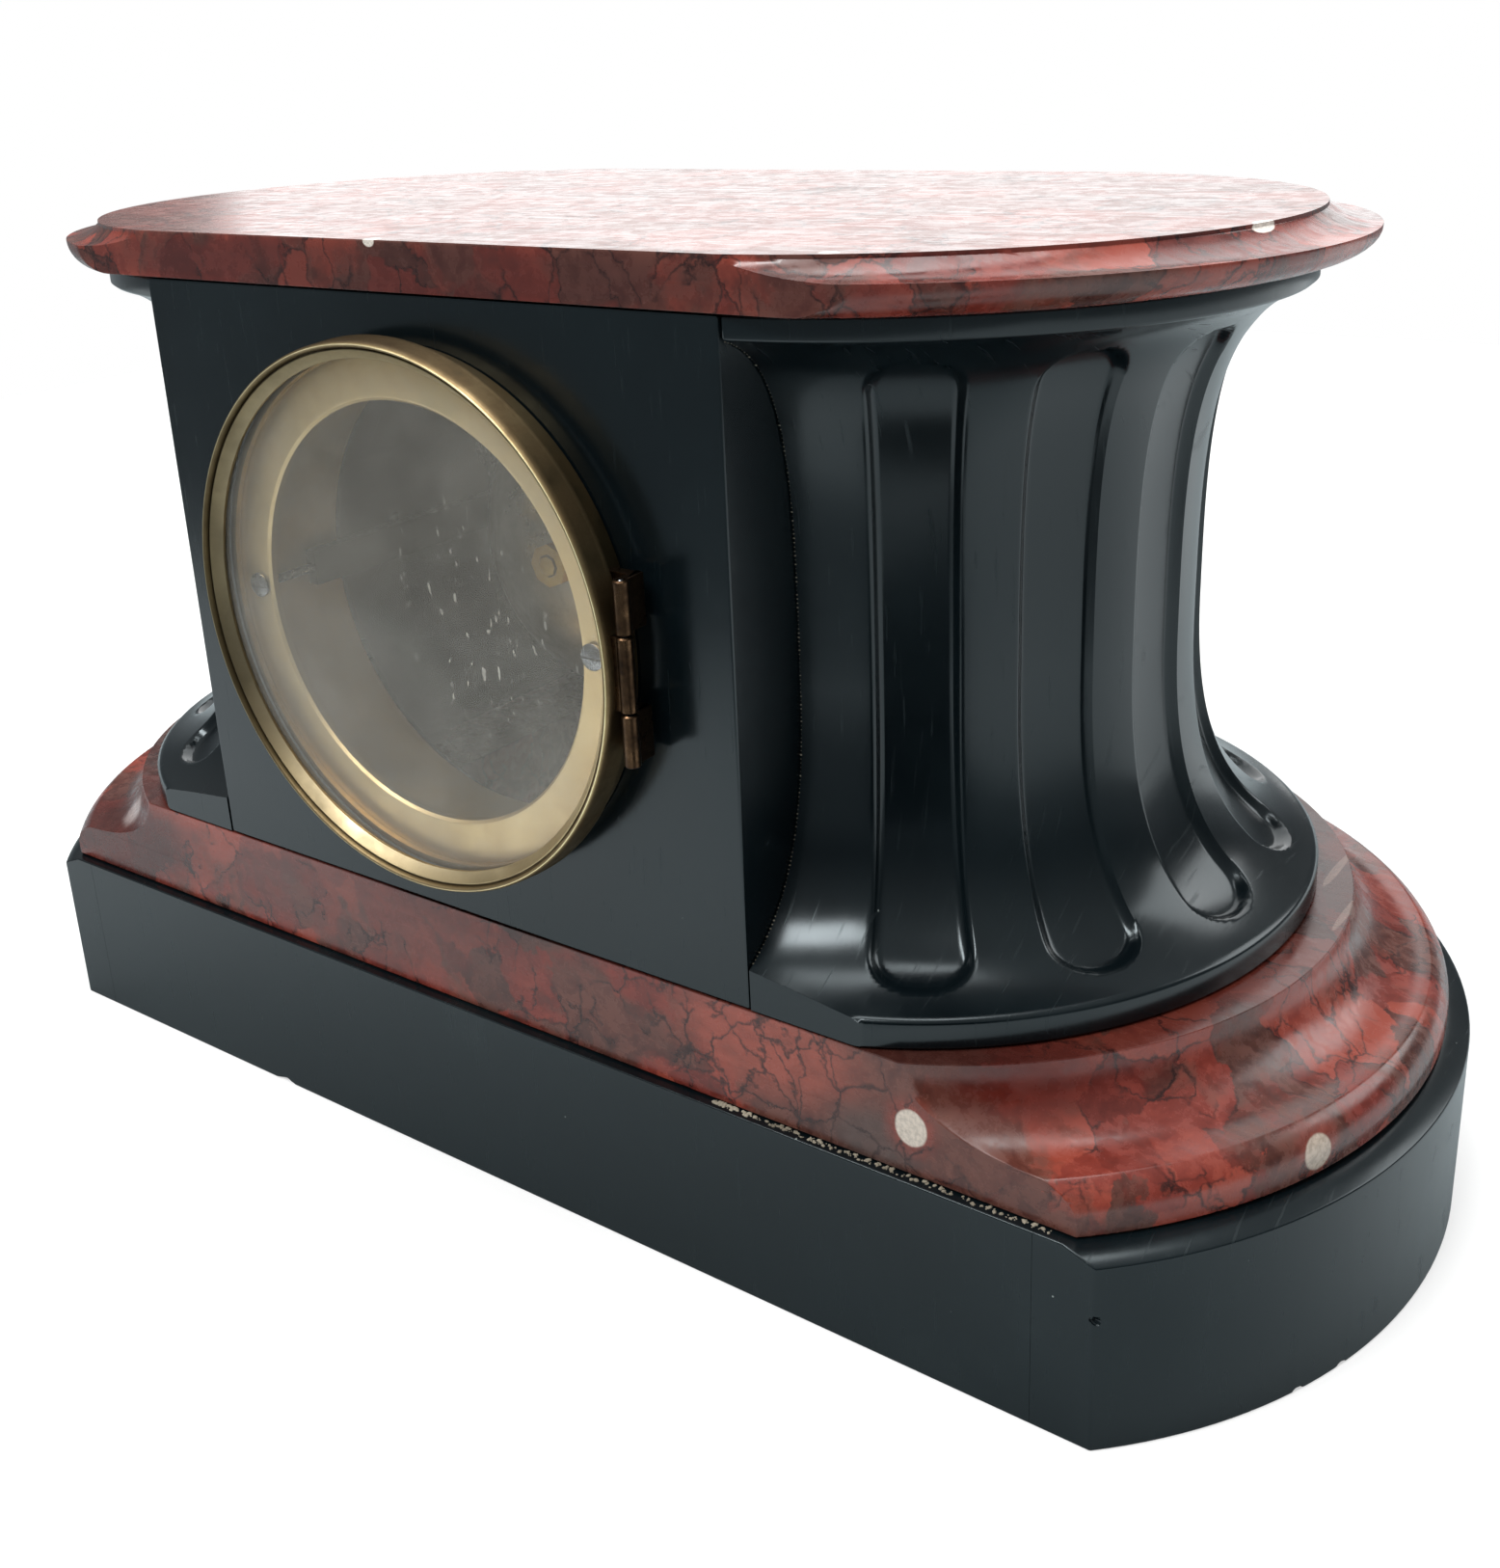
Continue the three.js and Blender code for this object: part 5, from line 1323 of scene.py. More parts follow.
@dataclass
class TopSlab(SubAssembly):
    """Red marble slab on top: a quarter round underneath, a lip, a hollow and an upright edge."""

    under: Plan = Plan(80.5, 131.4, BODY_BACK, BODY_FRONT - 1)
    lip: Plan = Plan(89.0, 139.9, BODY_BACK, BODY_FRONT - 4)
    top: Plan = Plan(68.4, 130.9, BODY_BACK, BODY_FRONT)
    low: float = 176.3
    round_height: float = 4.8
    lip_edge: float = 0.4
    hollow_height: float = 2.8
    hollow_turn: float = 32.0
    height: float = 8.7
    arris: float = 0.4
    bow_steps: int = 96

    def build(self, steps: int = 10) -> None:
        """Makes the slab and dresses it.

        Args:
            steps: Faces over the round and over the hollow.
        """
        rings = []
        for i in range(steps + 1):
            turn = math.pi / 2 * i / steps
            rise = self.round_height * (1 - math.cos(turn))
            plan = self.under.towards(self.lip, math.sin(turn))
            rings.append(plan.ring(self.low + rise, self.bow_steps))
        start = self.round_height + self.lip_edge
        limit = math.radians(self.hollow_turn)
        for i in range(steps + 1):
            turn = limit * i / steps
            rise = self.hollow_height * (1 - math.cos(turn)) / (1 - math.cos(limit))
            plan = self.top.towards(self.lip, 1 - math.sin(turn) / math.sin(limit))
            rings.append(plan.ring(self.low + start + rise, self.bow_steps))
        rings.append(self.top.ring(self.low + self.height, self.bow_steps))
        piece = Bench.loft("top_slab_stone", rings)
        Bench.ease(piece, self.arris, angle=50)
        Bench.smooth(piece)
        self.dress(piece, self.finishes.marble, Rides.CASE, Slot.MARBLE, ["top_slab"])


@dataclass
class Drum(SubAssembly):
    """Fluted, waisted end block of slate with a base band and a fascia."""

    side: Side
    axis: float = 57.8
    flat: float = 68.6
    low: float = 58.7
    band_top: float = 63.6
    waist_height: float = 111.7
    fascia_low: float = 172.2
    high: float = 176.0
    band: float = 79.25
    waist: float = 55.2
    fascia: float = 72.4
    flutes: int = 6
    first_flute: float = 31.8
    pitch: float = 25.15
    spread: float = 14.9
    flute_depth: float = 2.2
    foot_margin: float = 6.2
    head_margin: float = 9.0
    wall: float = 0.22
    bowl: float = 0.3
    pace: float = 0.75
    sweep: float = 84.0
    steps: int = 420
    core: float = 5.0
    arris: float = 0.5
    arris_round: float = 0.15
    quirk: float = 0.4

    def flank(self) -> list[Flat]:
        """Gives the waisted flank from the band to the fascia.

        Returns:
            Evenly spaced points as (radius, height).
        """
        lower = (
            (self.band, self.band_top),
            (blend(self.band, self.waist, 0.68), blend(self.band_top, self.waist_height, 0.12)),
            (self.waist, blend(self.band_top, self.waist_height, 0.375)),
            (self.waist, self.waist_height),
        )
        upper = (
            (self.waist, self.waist_height),
            (self.waist, blend(self.waist_height, self.fascia_low, 0.52)),
            (self.waist, blend(self.waist_height, self.fascia_low, 0.92)),
            (self.fascia, self.fascia_low),
        )
        dense = [self.bezier(corners, i / 400) for corners in (lower, upper) for i in range(401)]
        walked = [0.0]
        for a, b in zip(dense, dense[1:]):
            walked.append(walked[-1] + math.dist(a, b))
        count = round(walked[-1] / self.pace)
        points = []
        place = 0
        for i in range(count + 1):
            target = walked[-1] * i / count
            while place < len(dense) - 2 and walked[place + 1] < target:
                place += 1
            length = walked[place + 1] - walked[place]
            share = (target - walked[place]) / length if length else 0.0
            points.append(tuple(blend(a, b, share) for a, b in zip(dense[place], dense[place + 1])))
        return points

    @staticmethod
    def bezier(corners: Sequence[Flat], t: float) -> Flat:
        """Gives a point of a cubic curve.

        Args:
            corners: Its four control points.
            t: Place along the curve from 0 to 1.

        Returns:
            The point.
        """
        weights = ((1 - t) ** 3, 3 * t * (1 - t) ** 2, 3 * t**2 * (1 - t), t**3)
        radius, height = (sum(w * c[i] for w, c in zip(weights, corners)) for i in (0, 1))
        return radius, height

    def hollow(self, along: float, total: float, angle: float) -> float:
        """Gives the depth of the flutes at a place on the flank.

        Args:
            along: Distance along the flank from the band, in millimetres.
            total: Length of the flank.
            angle: Degrees round the axis from straight back towards the end.

        Returns:
            Depth in millimetres.
        """
        end_radius = self.waist * math.sin(math.radians(self.spread / 2))
        start = self.foot_margin + end_radius
        stop = total - self.head_margin - end_radius
        past = max(start - along, along - stop, 0.0) / end_radius
        nearest = round((angle - self.first_flute) / self.pitch)
        nearest = min(max(nearest, 0), self.flutes - 1)
        across = (angle - self.first_flute - nearest * self.pitch) / (self.spread / 2)
        reach = math.hypot(across, past)
        if reach >= 1:
            return 0.0
        wall = math.sin(min((1 - reach) / self.wall, 1.0) * math.pi / 2)
        return self.flute_depth * blend(wall, 1 - reach**2, self.bowl)

    def build(self) -> None:
        """Turns the drum, sinks its flutes, saws its flats and dresses it."""
        flank = self.flank()
        foot = [
            (self.core, self.low),
            (self.band - self.arris, self.low),
            (self.band - self.arris_round, self.low + self.arris_round),
            (self.band, self.low + self.arris),
            (self.band, self.band_top - self.quirk),
        ]
        head = [
            (self.fascia, self.fascia_low + self.quirk),
            (self.fascia, self.high - self.arris),
            (self.fascia - self.arris_round, self.high - self.arris_round),
            (self.fascia - self.arris, self.high),
            (self.core, self.high),
        ]
        section = foot + flank[1:-1] + head
        sign = self.side.value
        centre = Vector((sign * self.axis, BODY_MIDDLE, 0)) * MM
        # The spin runs clockwise seen from above
        begin = math.radians(90 - sign * 90 + self.sweep)
        heading = Vector((math.cos(begin), math.sin(begin), 0))
        profile = [centre + (heading * r + Vector((0, 0, z))) * MM for r, z in section]
        name = f"{self.side.name.lower()}_drum"
        turn = 2 * math.radians(self.sweep)
        piece = Bench.spin(f"{name}_stone", profile, centre, UPWARDS, self.steps, turn)
        self.sink_flutes(piece, centre, section, len(foot), len(flank) - 2)
        Bench.forget_places(piece)
        Bench.saw(piece, Vector((sign * self.flat, 0, 0)) * MM, Vector((-sign, 0, 0)))
        Bench.saw(piece, Vector((0, BODY_BACK, 0)) * MM, OUTWARDS)
        Bench.saw(piece, Vector((0, BODY_FRONT, 0)) * MM, Vector((0, -1, 0)))
        Bench.smooth(piece, 50)
        self.dress(piece, self.finishes.slate, Rides.CASE, Slot.SLATE, [name])

    def sink_flutes(
        self, piece: Piece, centre: Vector, section: Sequence[Flat], first: int, count: int
    ) -> None:
        """Moves the flank's vertices in where the flutes are.

        Args:
            piece: The turned drum, with the number of each section point on its vertices.
            centre: Foot of the drum's axis, in metres.
            section: Section points as (radius, height).
            first: Number of the first section point on the flank.
            count: Number of section points on the flank.
        """
        total = self.pace * (count + 1)
        turned = math.copysign(1, self.side.value)
        places = piece.data.attributes[PLACE_LAYER].data
        for vertex in piece.data.vertices:
            at = places[vertex.index].value
            if not first <= at < first + count:
                continue
            out = vertex.co - centre
            out.z = 0
            angle = math.degrees(math.atan2(turned * out.x, out.y))
            depth = self.hollow((at - first + 1) * self.pace, total, angle)
            if depth > 0:
                before, after = section[at - 1], section[at + 1]
                run = Vector((after[0] - before[0], after[1] - before[1])).normalized()
                out.normalize()
                vertex.co -= (out * run.y - Vector((0, 0, run.x))) * depth * MM
        piece.data.update()


@dataclass
class JointGritAndSeamHighlight(SubAssembly):
    """Crumbs of old bedding plaster along the red marble's foot, and pale specks along the drums' seams that
    paint the highlight on the seam's edge.
    """

    ledge: float = 37.6
    crumbs: int = 260
    along: Flat = (-126.0, -60.0)
    deep: Flat = (73.3, 74.2)
    crumb_size: Flat = (0.1, 0.4)
    seam_highlight_size: Flat = (0.05, 0.16)

    def build(self) -> None:
        """Scatters the crumbs and the specks of painted seam highlight, and dresses them."""
        crumbs = []
        for number in range(self.crumbs):
            draws = self.draws(number)
            x = blend(*self.along, 1 - draws[0] ** 1.6)
            crumbs.append(self.lie((x, blend(*self.deep, draws[1]), self.ledge), self.crumb_size, draws))
        # Painted highlight: pale specks along each drum's sawn edge, where the seam catches the light
        for side in Side:
            drum = Drum(self.frame, self.finishes, side)
            edge = drum.flat - drum.axis
            for number, (radius, height) in enumerate(drum.flank()):
                draws = self.draws(number + 1000 * side.value)
                out = math.sqrt(radius**2 - edge**2) + 0.05
                for face, limit in ((1, BODY_BACK), (-1, -BODY_FRONT)):
                    y = BODY_MIDDLE + face * out
                    if abs(y) < limit - 1:
                        crumbs.append(self.lie((side.value * drum.flat, y, height), self.seam_highlight_size, draws))
        piece = Bench.scatter("joint_grit_and_seam_highlight", self.crumb(), crumbs)
        Bench.smooth(piece, 60)
        self.dress(piece, self.finishes.plaster, Rides.CASE, Slot.SLATE)

    @staticmethod
    def draws(number: int) -> list[float]:
        """Returns three steady draws from 0 to 1 for a crumb."""
        return [abs(noise.cell(Vector((number + 0.5, 10.5 * i, 3.5)))) for i in range(3)]

    @staticmethod
    def lie(place: Sequence[float], sizes: Flat, draws: Sequence[float]) -> Matrix:
        """Lays one crumb.

        Args:
            place: Its middle, in millimetres.
            sizes: Smallest and largest size.
            draws: Its three draws, which turn and size it.

        Returns:
            Its place, turn and scale.
        """
        size = blend(*sizes, draws[2] ** 2)
        turn = Euler((0, 0, math.tau * draws[1])).to_matrix().to_4x4()
        return Matrix.Translation(Vector(place) * MM) @ turn @ Matrix.Scale(size * MM, 4)

    @staticmethod
    def crumb() -> Piece:
        """Makes one crumb.

        Returns:
            A flattened, broken lump about 1 in radius.
        """
        Bench.clear()
        bpy.ops.mesh.primitive_ico_sphere_add(subdivisions=2, radius=1)
        piece = bpy.context.active_object
        for vertex in piece.data.vertices:
            rough = 1 + 0.5 * noise.noise(vertex.co * 1.3)
            vertex.co = Vector((vertex.co.x * 1.4, vertex.co.y * 0.9, vertex.co.z * 0.7)) * rough
        return piece


@dataclass
class Panel(SubAssembly):
    """Slate panel with a round hole for a door."""

    facing: Facing
    half: float = 68.3
    low: float = 58.7
    high: float = 176.0
    thick: float = 21.0
    hole: float = 46.4
    overrun: float = 5.0
    arris: float = 0.45

    def build(self) -> None:
        """Makes the panel and dresses it."""
        sign = self.facing.value
        face = BODY_BACK if self.facing is Facing.BACK else BODY_FRONT
        inside = face - sign * self.thick
        node = f"{self.facing.name.lower()}_panel"
        near, far = sorted((face, inside))
        piece = Bench.block(f"{node}_stone", (-self.half, near, self.low), (self.half, far, self.high))
        start = (0, inside - sign * self.overrun, DIAL_CENTRE)
        length = self.thick + 2 * self.overrun
        Bench.carve(piece, Bench.rod("panel_drill", self.hole, start, length, Vector((0, sign, 0)), 128))
        Bench.ease(piece, self.arris)
        Bench.smooth(piece)
        self.dress(piece, self.finishes.slate, Rides.CASE, Slot.SLATE, [node])


@dataclass
class RoundDoor(SubAssembly):
    """Brass flange fixed in a panel, with a hinged ring that holds a glass."""

    facing: Facing
    ring_outer: float
    ring_inner: float
    foot: float
    proud: float
    lip: float
    flange_inner: float
    flange_face: float
    glass_radius: float
    glass_back: float
    glass_edge: float
    glass_front: float
    glass_bevel: float
    tube: Flat = (44.4, 46.0)
    tube_length: float = 18.0
    plate: float = 1.9
    joint: float = 0.3
    collar_setback: float = 1.9
    collar_wall: float = 1.4
    collar_rise: float = 1.0
    knuckle: float = 1.4
    pin: float = 0.6
    knuckle_middle: float = 13.0
    knuckle_outer: float = 9.2
    hinge_height: float = 7.5
    strap_screw: float = 42.1
    screw_hole: float = 1.3
    overrun: float = 8.0
    end_play: float = 0.1
    leaf_half: float = 0.8
    rebate: float = 1.85

    @property
    def rides(self) -> Rides:
        """Body of the hinged door."""
        return Rides.BACK_DOOR if self.facing is Facing.BACK else Rides.FRONT_DOOR

    @property
    def word(self) -> str:
        """First word of the door's piece names."""
        return self.facing.name.lower()

    @property
    def hinge_x(self) -> float:
        """X of the hinge axis."""
        return -self.facing.value * (self.ring_outer + self.knuckle + self.joint)

    @property
    def hinge(self) -> tuple[float, float, float]:
        """Middle of the hinge."""
        return self.hinge_x, self.at(self.hinge_height), DIAL_CENTRE

    def at(self, height: float) -> float:
        """Returns the Y of a height out from the panel's face."""
        face = BODY_BACK if self.facing is Facing.BACK else BODY_FRONT
        return face + self.facing.value * height

    def turn(self, name: str, section: Sequence[Flat], steps: int = 144) -> Piece:
        """Turns a section of (radius, height) about the door's middle.

        Args:
            name: Name of the piece.
            section: Closed section in millimetres.
            steps: Faces round the turn.

        Returns:
            The piece.
        """
        outward = [(radius, self.at(height)) for radius, height in section]
        return Bench.turned(name, outward, (0, 0, DIAL_CENTRE), OUTWARDS, steps)

    def build(self) -> None:
        """Makes the flange, the ring, the glass and the hinge, and dresses them."""
        self.build_flange()
        self.build_ring()
        self.build_glass()
        self.build_hinge()

    def build_flange(self) -> None:
        """Makes the fixed flange with its collar and tube."""
        collar = self.ring_outer - self.collar_setback
        top = self.flange_face + self.collar_rise
        face = self.flange_face
        inside = collar - self.collar_wall
        section = [
            (self.tube[0], -self.tube_length),
            (self.tube[1], -self.tube_length),
            (self.tube[1], self.joint),
            (collar, self.joint),
            (collar, top),
            (inside, top),
            (inside, face),
            (blend(inside, self.flange_inner, 0.86), face),
            (self.flange_inner + 0.5, face - 0.1),
            (self.flange_inner, face - 0.6),
            (self.flange_inner, face - self.plate),
            (self.tube[0], face - self.plate),
        ]
        piece = self.turn(f"{self.word}_flange_ring", section)
        if self.facing is Facing.BACK:
            for side in Side:
                start = (side.value * self.strap_screw, self.at(-self.tube_length - 1), DIAL_CENTRE)
                length = self.tube_length + self.overrun
                Bench.carve(piece, Bench.rod("screw_drill", self.screw_hole, start, length, OUTWARDS))
        Bench.ease(piece, 0.15, angle=50)
        Bench.smooth(piece)
        node = "back_flange" if self.facing is Facing.BACK else "front_bezel"
        self.dress(piece, self.finishes.flange_brass, Rides.CASE, Slot.BRASS, [node])

    def ring_section(self) -> list[Flat]:
        """Gives the ring's section.

        Returns:
            A rimmed side, a narrow crown bead, a groove and a broad bevel over the lip, as (radius, height).
        """
        outer, inner = self.ring_outer, self.ring_inner
        rebate = inner + self.rebate
        # Share of the ring's width from the inside, and share of its height over the foot or over the lip
        side = ((0.93, 0.0), (1.0, 0.05), (1.0, 0.18), (0.95, 0.23), (0.93, 0.74), (0.9, 0.88), (0.86, 0.96))
        face = (
            (0.79, 1.0),
            (0.72, 0.98),
            (0.65, 0.9),
            (0.6, 0.78),
            (0.57, 0.66),
            (0.53, 0.66),
            (0.5, 0.74),
            (0.45, 0.74),
            (0.0, 0.16),
            (0.0, 0.0),
        )
        section = [(rebate, self.foot)]
        section += [(blend(inner, outer, u), blend(self.foot, self.proud, v)) for u, v in side]
        section += [(blend(inner, outer, u), blend(self.lip, self.proud, v)) for u, v in face]
        section.append((rebate, self.lip))
        return section

    def build_ring(self) -> None:
        """Makes the door ring."""
        piece = self.turn(f"{self.word}_ring_turning", self.ring_section())
        Bench.smooth(piece, 40)
        brass = self.finishes.ring_brass if self.facing is Facing.BACK else self.finishes.bezel_brass
        self.dress(piece, brass, self.rides, Slot.BRASS, [f"{self.word}_door_ring"])

    def build_glass(self) -> None:
        """Makes the glass."""
        section = [
            (0.0, self.glass_back),
            (self.glass_radius - 0.15, self.glass_back),
            (self.glass_radius, self.glass_back + 0.15),
            (self.glass_radius, self.glass_edge - 0.1),
            (self.glass_radius - 0.1, self.glass_edge),
            (self.glass_radius - self.glass_bevel, self.glass_front),
            (0.0, self.glass_front),
        ]
        piece = self.turn(f"{self.word}_glass_pane", section)
        Bench.smooth(piece, 3)
        glass = self.finishes.dusty_glass if self.facing is Facing.BACK else self.finishes.clean_glass
        self.dress(piece, glass, self.rides, Slot.GLASS, [f"{self.word}_door_glass"])

    def barrel(self, name: str, low: float, high: float) -> Piece:
        """Makes one hinge knuckle.

        Args:
            name: Name of the piece.
            low: Lower end from the door's middle, in millimetres.
            high: Upper end.

        Returns:
            The knuckle with its bore.
        """
        bore = self.pin + 0.2
        ease = 0.25
        section = [
            (bore, low),
            (self.knuckle - ease, low),
            (self.knuckle, low + ease),
            (self.knuckle, high - ease),
            (self.knuckle - ease, high),
            (bore, high),
        ]
        return Bench.turned(name, section, self.hinge, UPWARDS, 32)

    def slab(self, name: str, across: Flat, heights: Flat, up: Flat) -> Piece:
        """Makes a flat hinge leaf.

        Args:
            name: Name of the piece.
            across: Its two ends along X.
            heights: Its two faces, out from the panel.
            up: Its lower and upper end from the door's middle.

        Returns:
            The piece.
        """
        deep = sorted(self.at(h) for h in heights)
        wide = sorted(across)
        low = (wide[0], deep[0], DIAL_CENTRE + up[0])
        return Bench.block(name, low, (wide[1], deep[1], DIAL_CENTRE + up[1]))

    def build_hinge(self) -> None:
        """Makes the hinge: the door's knuckle, the two fixed knuckles and the pin."""
        out = math.copysign(1, self.hinge_x)
        half = self.knuckle_middle / 2
        axis = self.hinge_x
        leaf = self.slab(
            "door_leaf",
            (axis - out * 1.1, out * (self.ring_outer - 1.0)),
            (self.hinge_height - self.leaf_half, self.hinge_height + self.leaf_half),
            (-half + self.end_play, half - self.end_play),
        )
        Bench.ease(leaf, 0.2)
        door = Bench.join(f"{self.word}_hinge_door_leaf", [self.barrel("door_knuckle", -half, half), leaf])
        Bench.smooth(door)
        self.dress(door, self.finishes.hinge_brass, self.rides, Slot.BRASS)
        near, end = half + self.joint, half + self.joint + self.knuckle_outer
        collar = self.ring_outer - self.collar_setback
        top = self.flange_face + self.collar_rise
        parts = []
        for low, high in ((near, end), (-end, -near)):
            parts.append(self.barrel("fixed_knuckle", low, high))
            reach = out * (math.sqrt(collar**2 - end**2) - self.collar_wall / 2)
            ends = (low + self.end_play, high - self.end_play)
            foot = self.slab("hinge_foot", (axis, reach), (top / 2, top), ends)
            stand = self.slab(
                "hinge_stand",
                (axis + out * 0.35, axis - out * self.knuckle),
                (top / 2, self.hinge_height - 0.9),
                ends,
            )
            Bench.weld(foot, stand)
            Bench.ease(foot, 0.15)
            parts.append(foot)
        fixed = Bench.join(f"{self.word}_hinge_fixed_leaf", parts)
        Bench.smooth(fixed)
        self.dress(fixed, self.finishes.hinge_brass, Rides.CASE, Slot.BRASS)
        section = [
            (0, -end),
            (self.pin - 0.2, -end),
            (self.pin, -end + 0.25),
            (self.pin, end - 0.25),
            (self.pin - 0.2, end),
            (0, end),
        ]
        pin = Bench.turned(f"{self.word}_hinge_pin_turning", section, self.hinge, UPWARDS, 24)
        Bench.smooth(pin)
        self.dress(pin, self.finishes.steel, Rides.CASE, Slot.STEEL, [f"{self.word}_hinge_pin"])


@dataclass
class StrapScrews(SubAssembly):
    """The two screws in the back flange, with domed slotted heads."""

    place: float = 42.1
    shank: float = 0.9
    head: float = 2.4
    seat: float = 3.7
    top: float = 4.4
    tip: float = -17.0

    def build(self) -> None:
        """Turns and slots the screw of each side and dresses it."""
        section = [
            (0, self.tip),
            (self.shank - 0.3, self.tip),
            (self.shank, self.tip + 0.5),
            (self.shank, self.seat),
            (self.head, self.seat),
            (self.head, self.seat + 0.35),
            (self.head - 0.25, self.top - 0.15),
            (self.head - 0.9, self.top),
            (0, self.top),
        ]
        for side in Side:
            x = side.value * self.place
            centre = (x, BODY_BACK, DIAL_CENTRE)
            word = side.name.lower()
            piece = Bench.turned(f"{word}_strap_screw_turning", section, centre, OUTWARDS, 40)
            low = (x - 3, BODY_BACK + self.top - 0.35, DIAL_CENTRE - 0.3)
            slot = Bench.block("slot_cutter", low, (x + 3, BODY_BACK + self.top + 1, DIAL_CENTRE + 0.3))
            Bench.carve(piece, slot)
            Bench.smooth(piece)
            self.dress(piece, self.finishes.steel, Rides.CASE, Slot.STEEL, [f"{word}_strap_screw"])


@dataclass
class Dial(SubAssembly):
    """Enamel dial with Roman figures, a minute track, winding grommets and blued hands."""

    radius: float = 45.0
    face: float = -74.85
    back: float = -73.75
    feet_end: float = -63.55
    foot_place: float = 33.0
    foot: float = 1.5
    centre_hole: float = 4.3
    winding_hole: float = 3.0
    winding: Flat = (18.5, -11.0)
    paint: float = 0.12
    figure_middle: float = 35.2
    figure_height: float = 7.0
    track: Flat = (40.4, 42.6)

    def build(self) -> None:
        """Makes the dial, its figures, its grommets and the hands, and dresses them."""
        self.build_disc()
        self.build_figures()
        self.build_grommets()
        self.build_hand("hour_hand", Rides.HOUR, 25.0, 5.5, 3.8, -75.65, 2.1)
        self.build_hand("minute_hand", Rides.MINUTE, 37.0, 3.5, 1.5, -77.15, 1.5)

    def turn(
        self, name: str, section: Sequence[Flat], steps: int = 128, x: float = 0, z: float = 0
    ) -> Piece:
        """Turns a section about an axis along Y.

        Args:
            name: Name of the piece.
            section: Closed section as (radius, Y), in millimetres.
            steps: Faces round the turn.
            x: Place of the axis to the right of the dial's middle.
            z: Place of the axis above the dial's middle.

        Returns:
            The piece.
        """
        return Bench.turned(name, section, (x, 0, DIAL_CENTRE + z), OUTWARDS, steps)

    def build_disc(self) -> None:
        """Makes the enamel disc with its holes and feet."""
        section = [
            (self.centre_hole, self.back),
            (self.radius - 0.2, self.back),
            (self.radius, self.back - 0.3),
            (self.radius - 0.1, self.face + 0.35),
            (self.radius - 0.5, self.face + 0.08),
            (self.radius - 1.2, self.face),
            (self.centre_hole + 0.3, self.face),
            (self.centre_hole, self.face + 0.3),
        ]
        piece = self.turn("enamel_dial", section)
        for side in Side:
            start = (side.value * self.winding[0], self.face - 2, DIAL_CENTRE + self.winding[1])
            Bench.carve(piece, Bench.rod("winding_drill", self.winding_hole, start, 6, OUTWARDS, 48))
        length = self.feet_end - self.back + 0.3
        feet = []
        for degrees in (90, 210, 330):
            turn = math.radians(degrees)
            start = (
                self.foot_place * math.cos(turn),
                self.back - 0.3,
                DIAL_CENTRE + self.foot_place * math.sin(turn),
            )
            feet.append(Bench.rod("dial_foot", self.foot, start, length, OUTWARDS))
        for foot in feet:
            Bench.weld(piece, foot)
        Bench.smooth(piece)
        self.dress(piece, self.finishes.enamel, Rides.CASE, Slot.ENAMEL, ["dial"])

    def stroke(self, a: Flat, b: Flat, width: float) -> Matrix:
        """Gives the place of one painted stroke.

        Args:
            a: Its start as (right, up) from the dial's middle, seen from the front.
            b: Its end.
            width: Its width.

        Returns:
            What brings a unit bar to the stroke.
        """
        along = Vector((b[0] - a[0], b[1] - a[1]))
        middle = Vector(((a[0] + b[0]) / 2, self.face, DIAL_CENTRE + (a[1] + b[1]) / 2))
        turn = Euler((0, -math.atan2(along.y, along.x), 0)).to_matrix().to_4x4()
        return Matrix.Translation(middle * MM) @ turn @ Matrix.Diagonal((along.length, 1, width, 1))

    def figure(self, text: str, hour: int) -> list[Matrix]:
        """Draws one Roman figure with its foot towards the middle of the dial.

        Args:
            text: The figure.
            hour: Its hour.

        Returns:
            Its strokes.
        """
        widths = {"I": 1.7, "V": 4.3, "X": 4.3}
        half = self.figure_height / 2
        thick, thin, serif = 1.0, 0.35, 0.4
        bearing = math.radians(90 - 30 * hour)
        up = Vector((math.cos(bearing), math.sin(bearing)))
        right = Vector((up.y, -up.x))
        pen = -sum(widths[letter] for letter in text) / 2
        lines: list[tuple[Flat, Flat, float]] = []
        for letter in text:
            wide = widths[letter]
            left, end, middle = pen + 0.35, pen + wide - 0.35, pen + wide / 2
            if letter == "I":
                lines.append(((middle, -half), (middle, half), thick))
            elif letter == "V":
                lines.append(((left + 0.5, half), (middle, -half), thick))
                lines.append(((end - 0.3, half), (middle, -half), thin))
            else:
                lines.append(((left + 0.4, half), (end - 0.4, -half), thick))
                lines.append(((left + 0.3, -half), (end - 0.3, half), thin))
            for level in (half, -half):
                if letter != "V" or level > 0:
                    lines.append(((pen + 0.05, level), (pen + wide - 0.05, level), serif))
            pen += wide
        strokes = []
        for a, b, width in lines:
            ends = []
            for across, high in (a, b):
                # The dial is seen from -Y, where +X is on the right
                point = up * (self.figure_middle + high) + right * across
                ends.append((point.x, point.y))
            strokes.append(self.stroke(ends[0], ends[1], width))
        return strokes

    def build_figures(self) -> None:
        """Draws the twelve figures and the minute track."""
        strokes = []
        for hour, text in enumerate("XII I II III IIII V VI VII VIII IX X XI".split()):
            strokes += self.figure(text, hour)
        for minute in range(60):
            turn = math.radians(6 * minute)
            reach = [(r * math.cos(turn), r * math.sin(turn)) for r in self.track]
            strokes.append(self.stroke(reach[0], reach[1], 0.75 if minute % 5 == 0 else 0.35))
        bar = Bench.block("stroke", (-0.5, -self.paint, -0.5), (0.5, 0.02, 0.5))
        parts = [Bench.scatter("strokes", bar, strokes)]
        for radius in self.track:
            section = [
                (radius - 0.12, self.face + 0.02),
                (radius + 0.12, self.face + 0.02),
                (radius + 0.12, self.face - self.paint),
                (radius - 0.12, self.face - self.paint),
            ]
            parts.append(self.turn("track_circle", section))
        piece = Bench.join("dial_figures", parts)
        self.dress(piece, self.finishes.figures, Rides.CASE, Slot.ENAMEL)

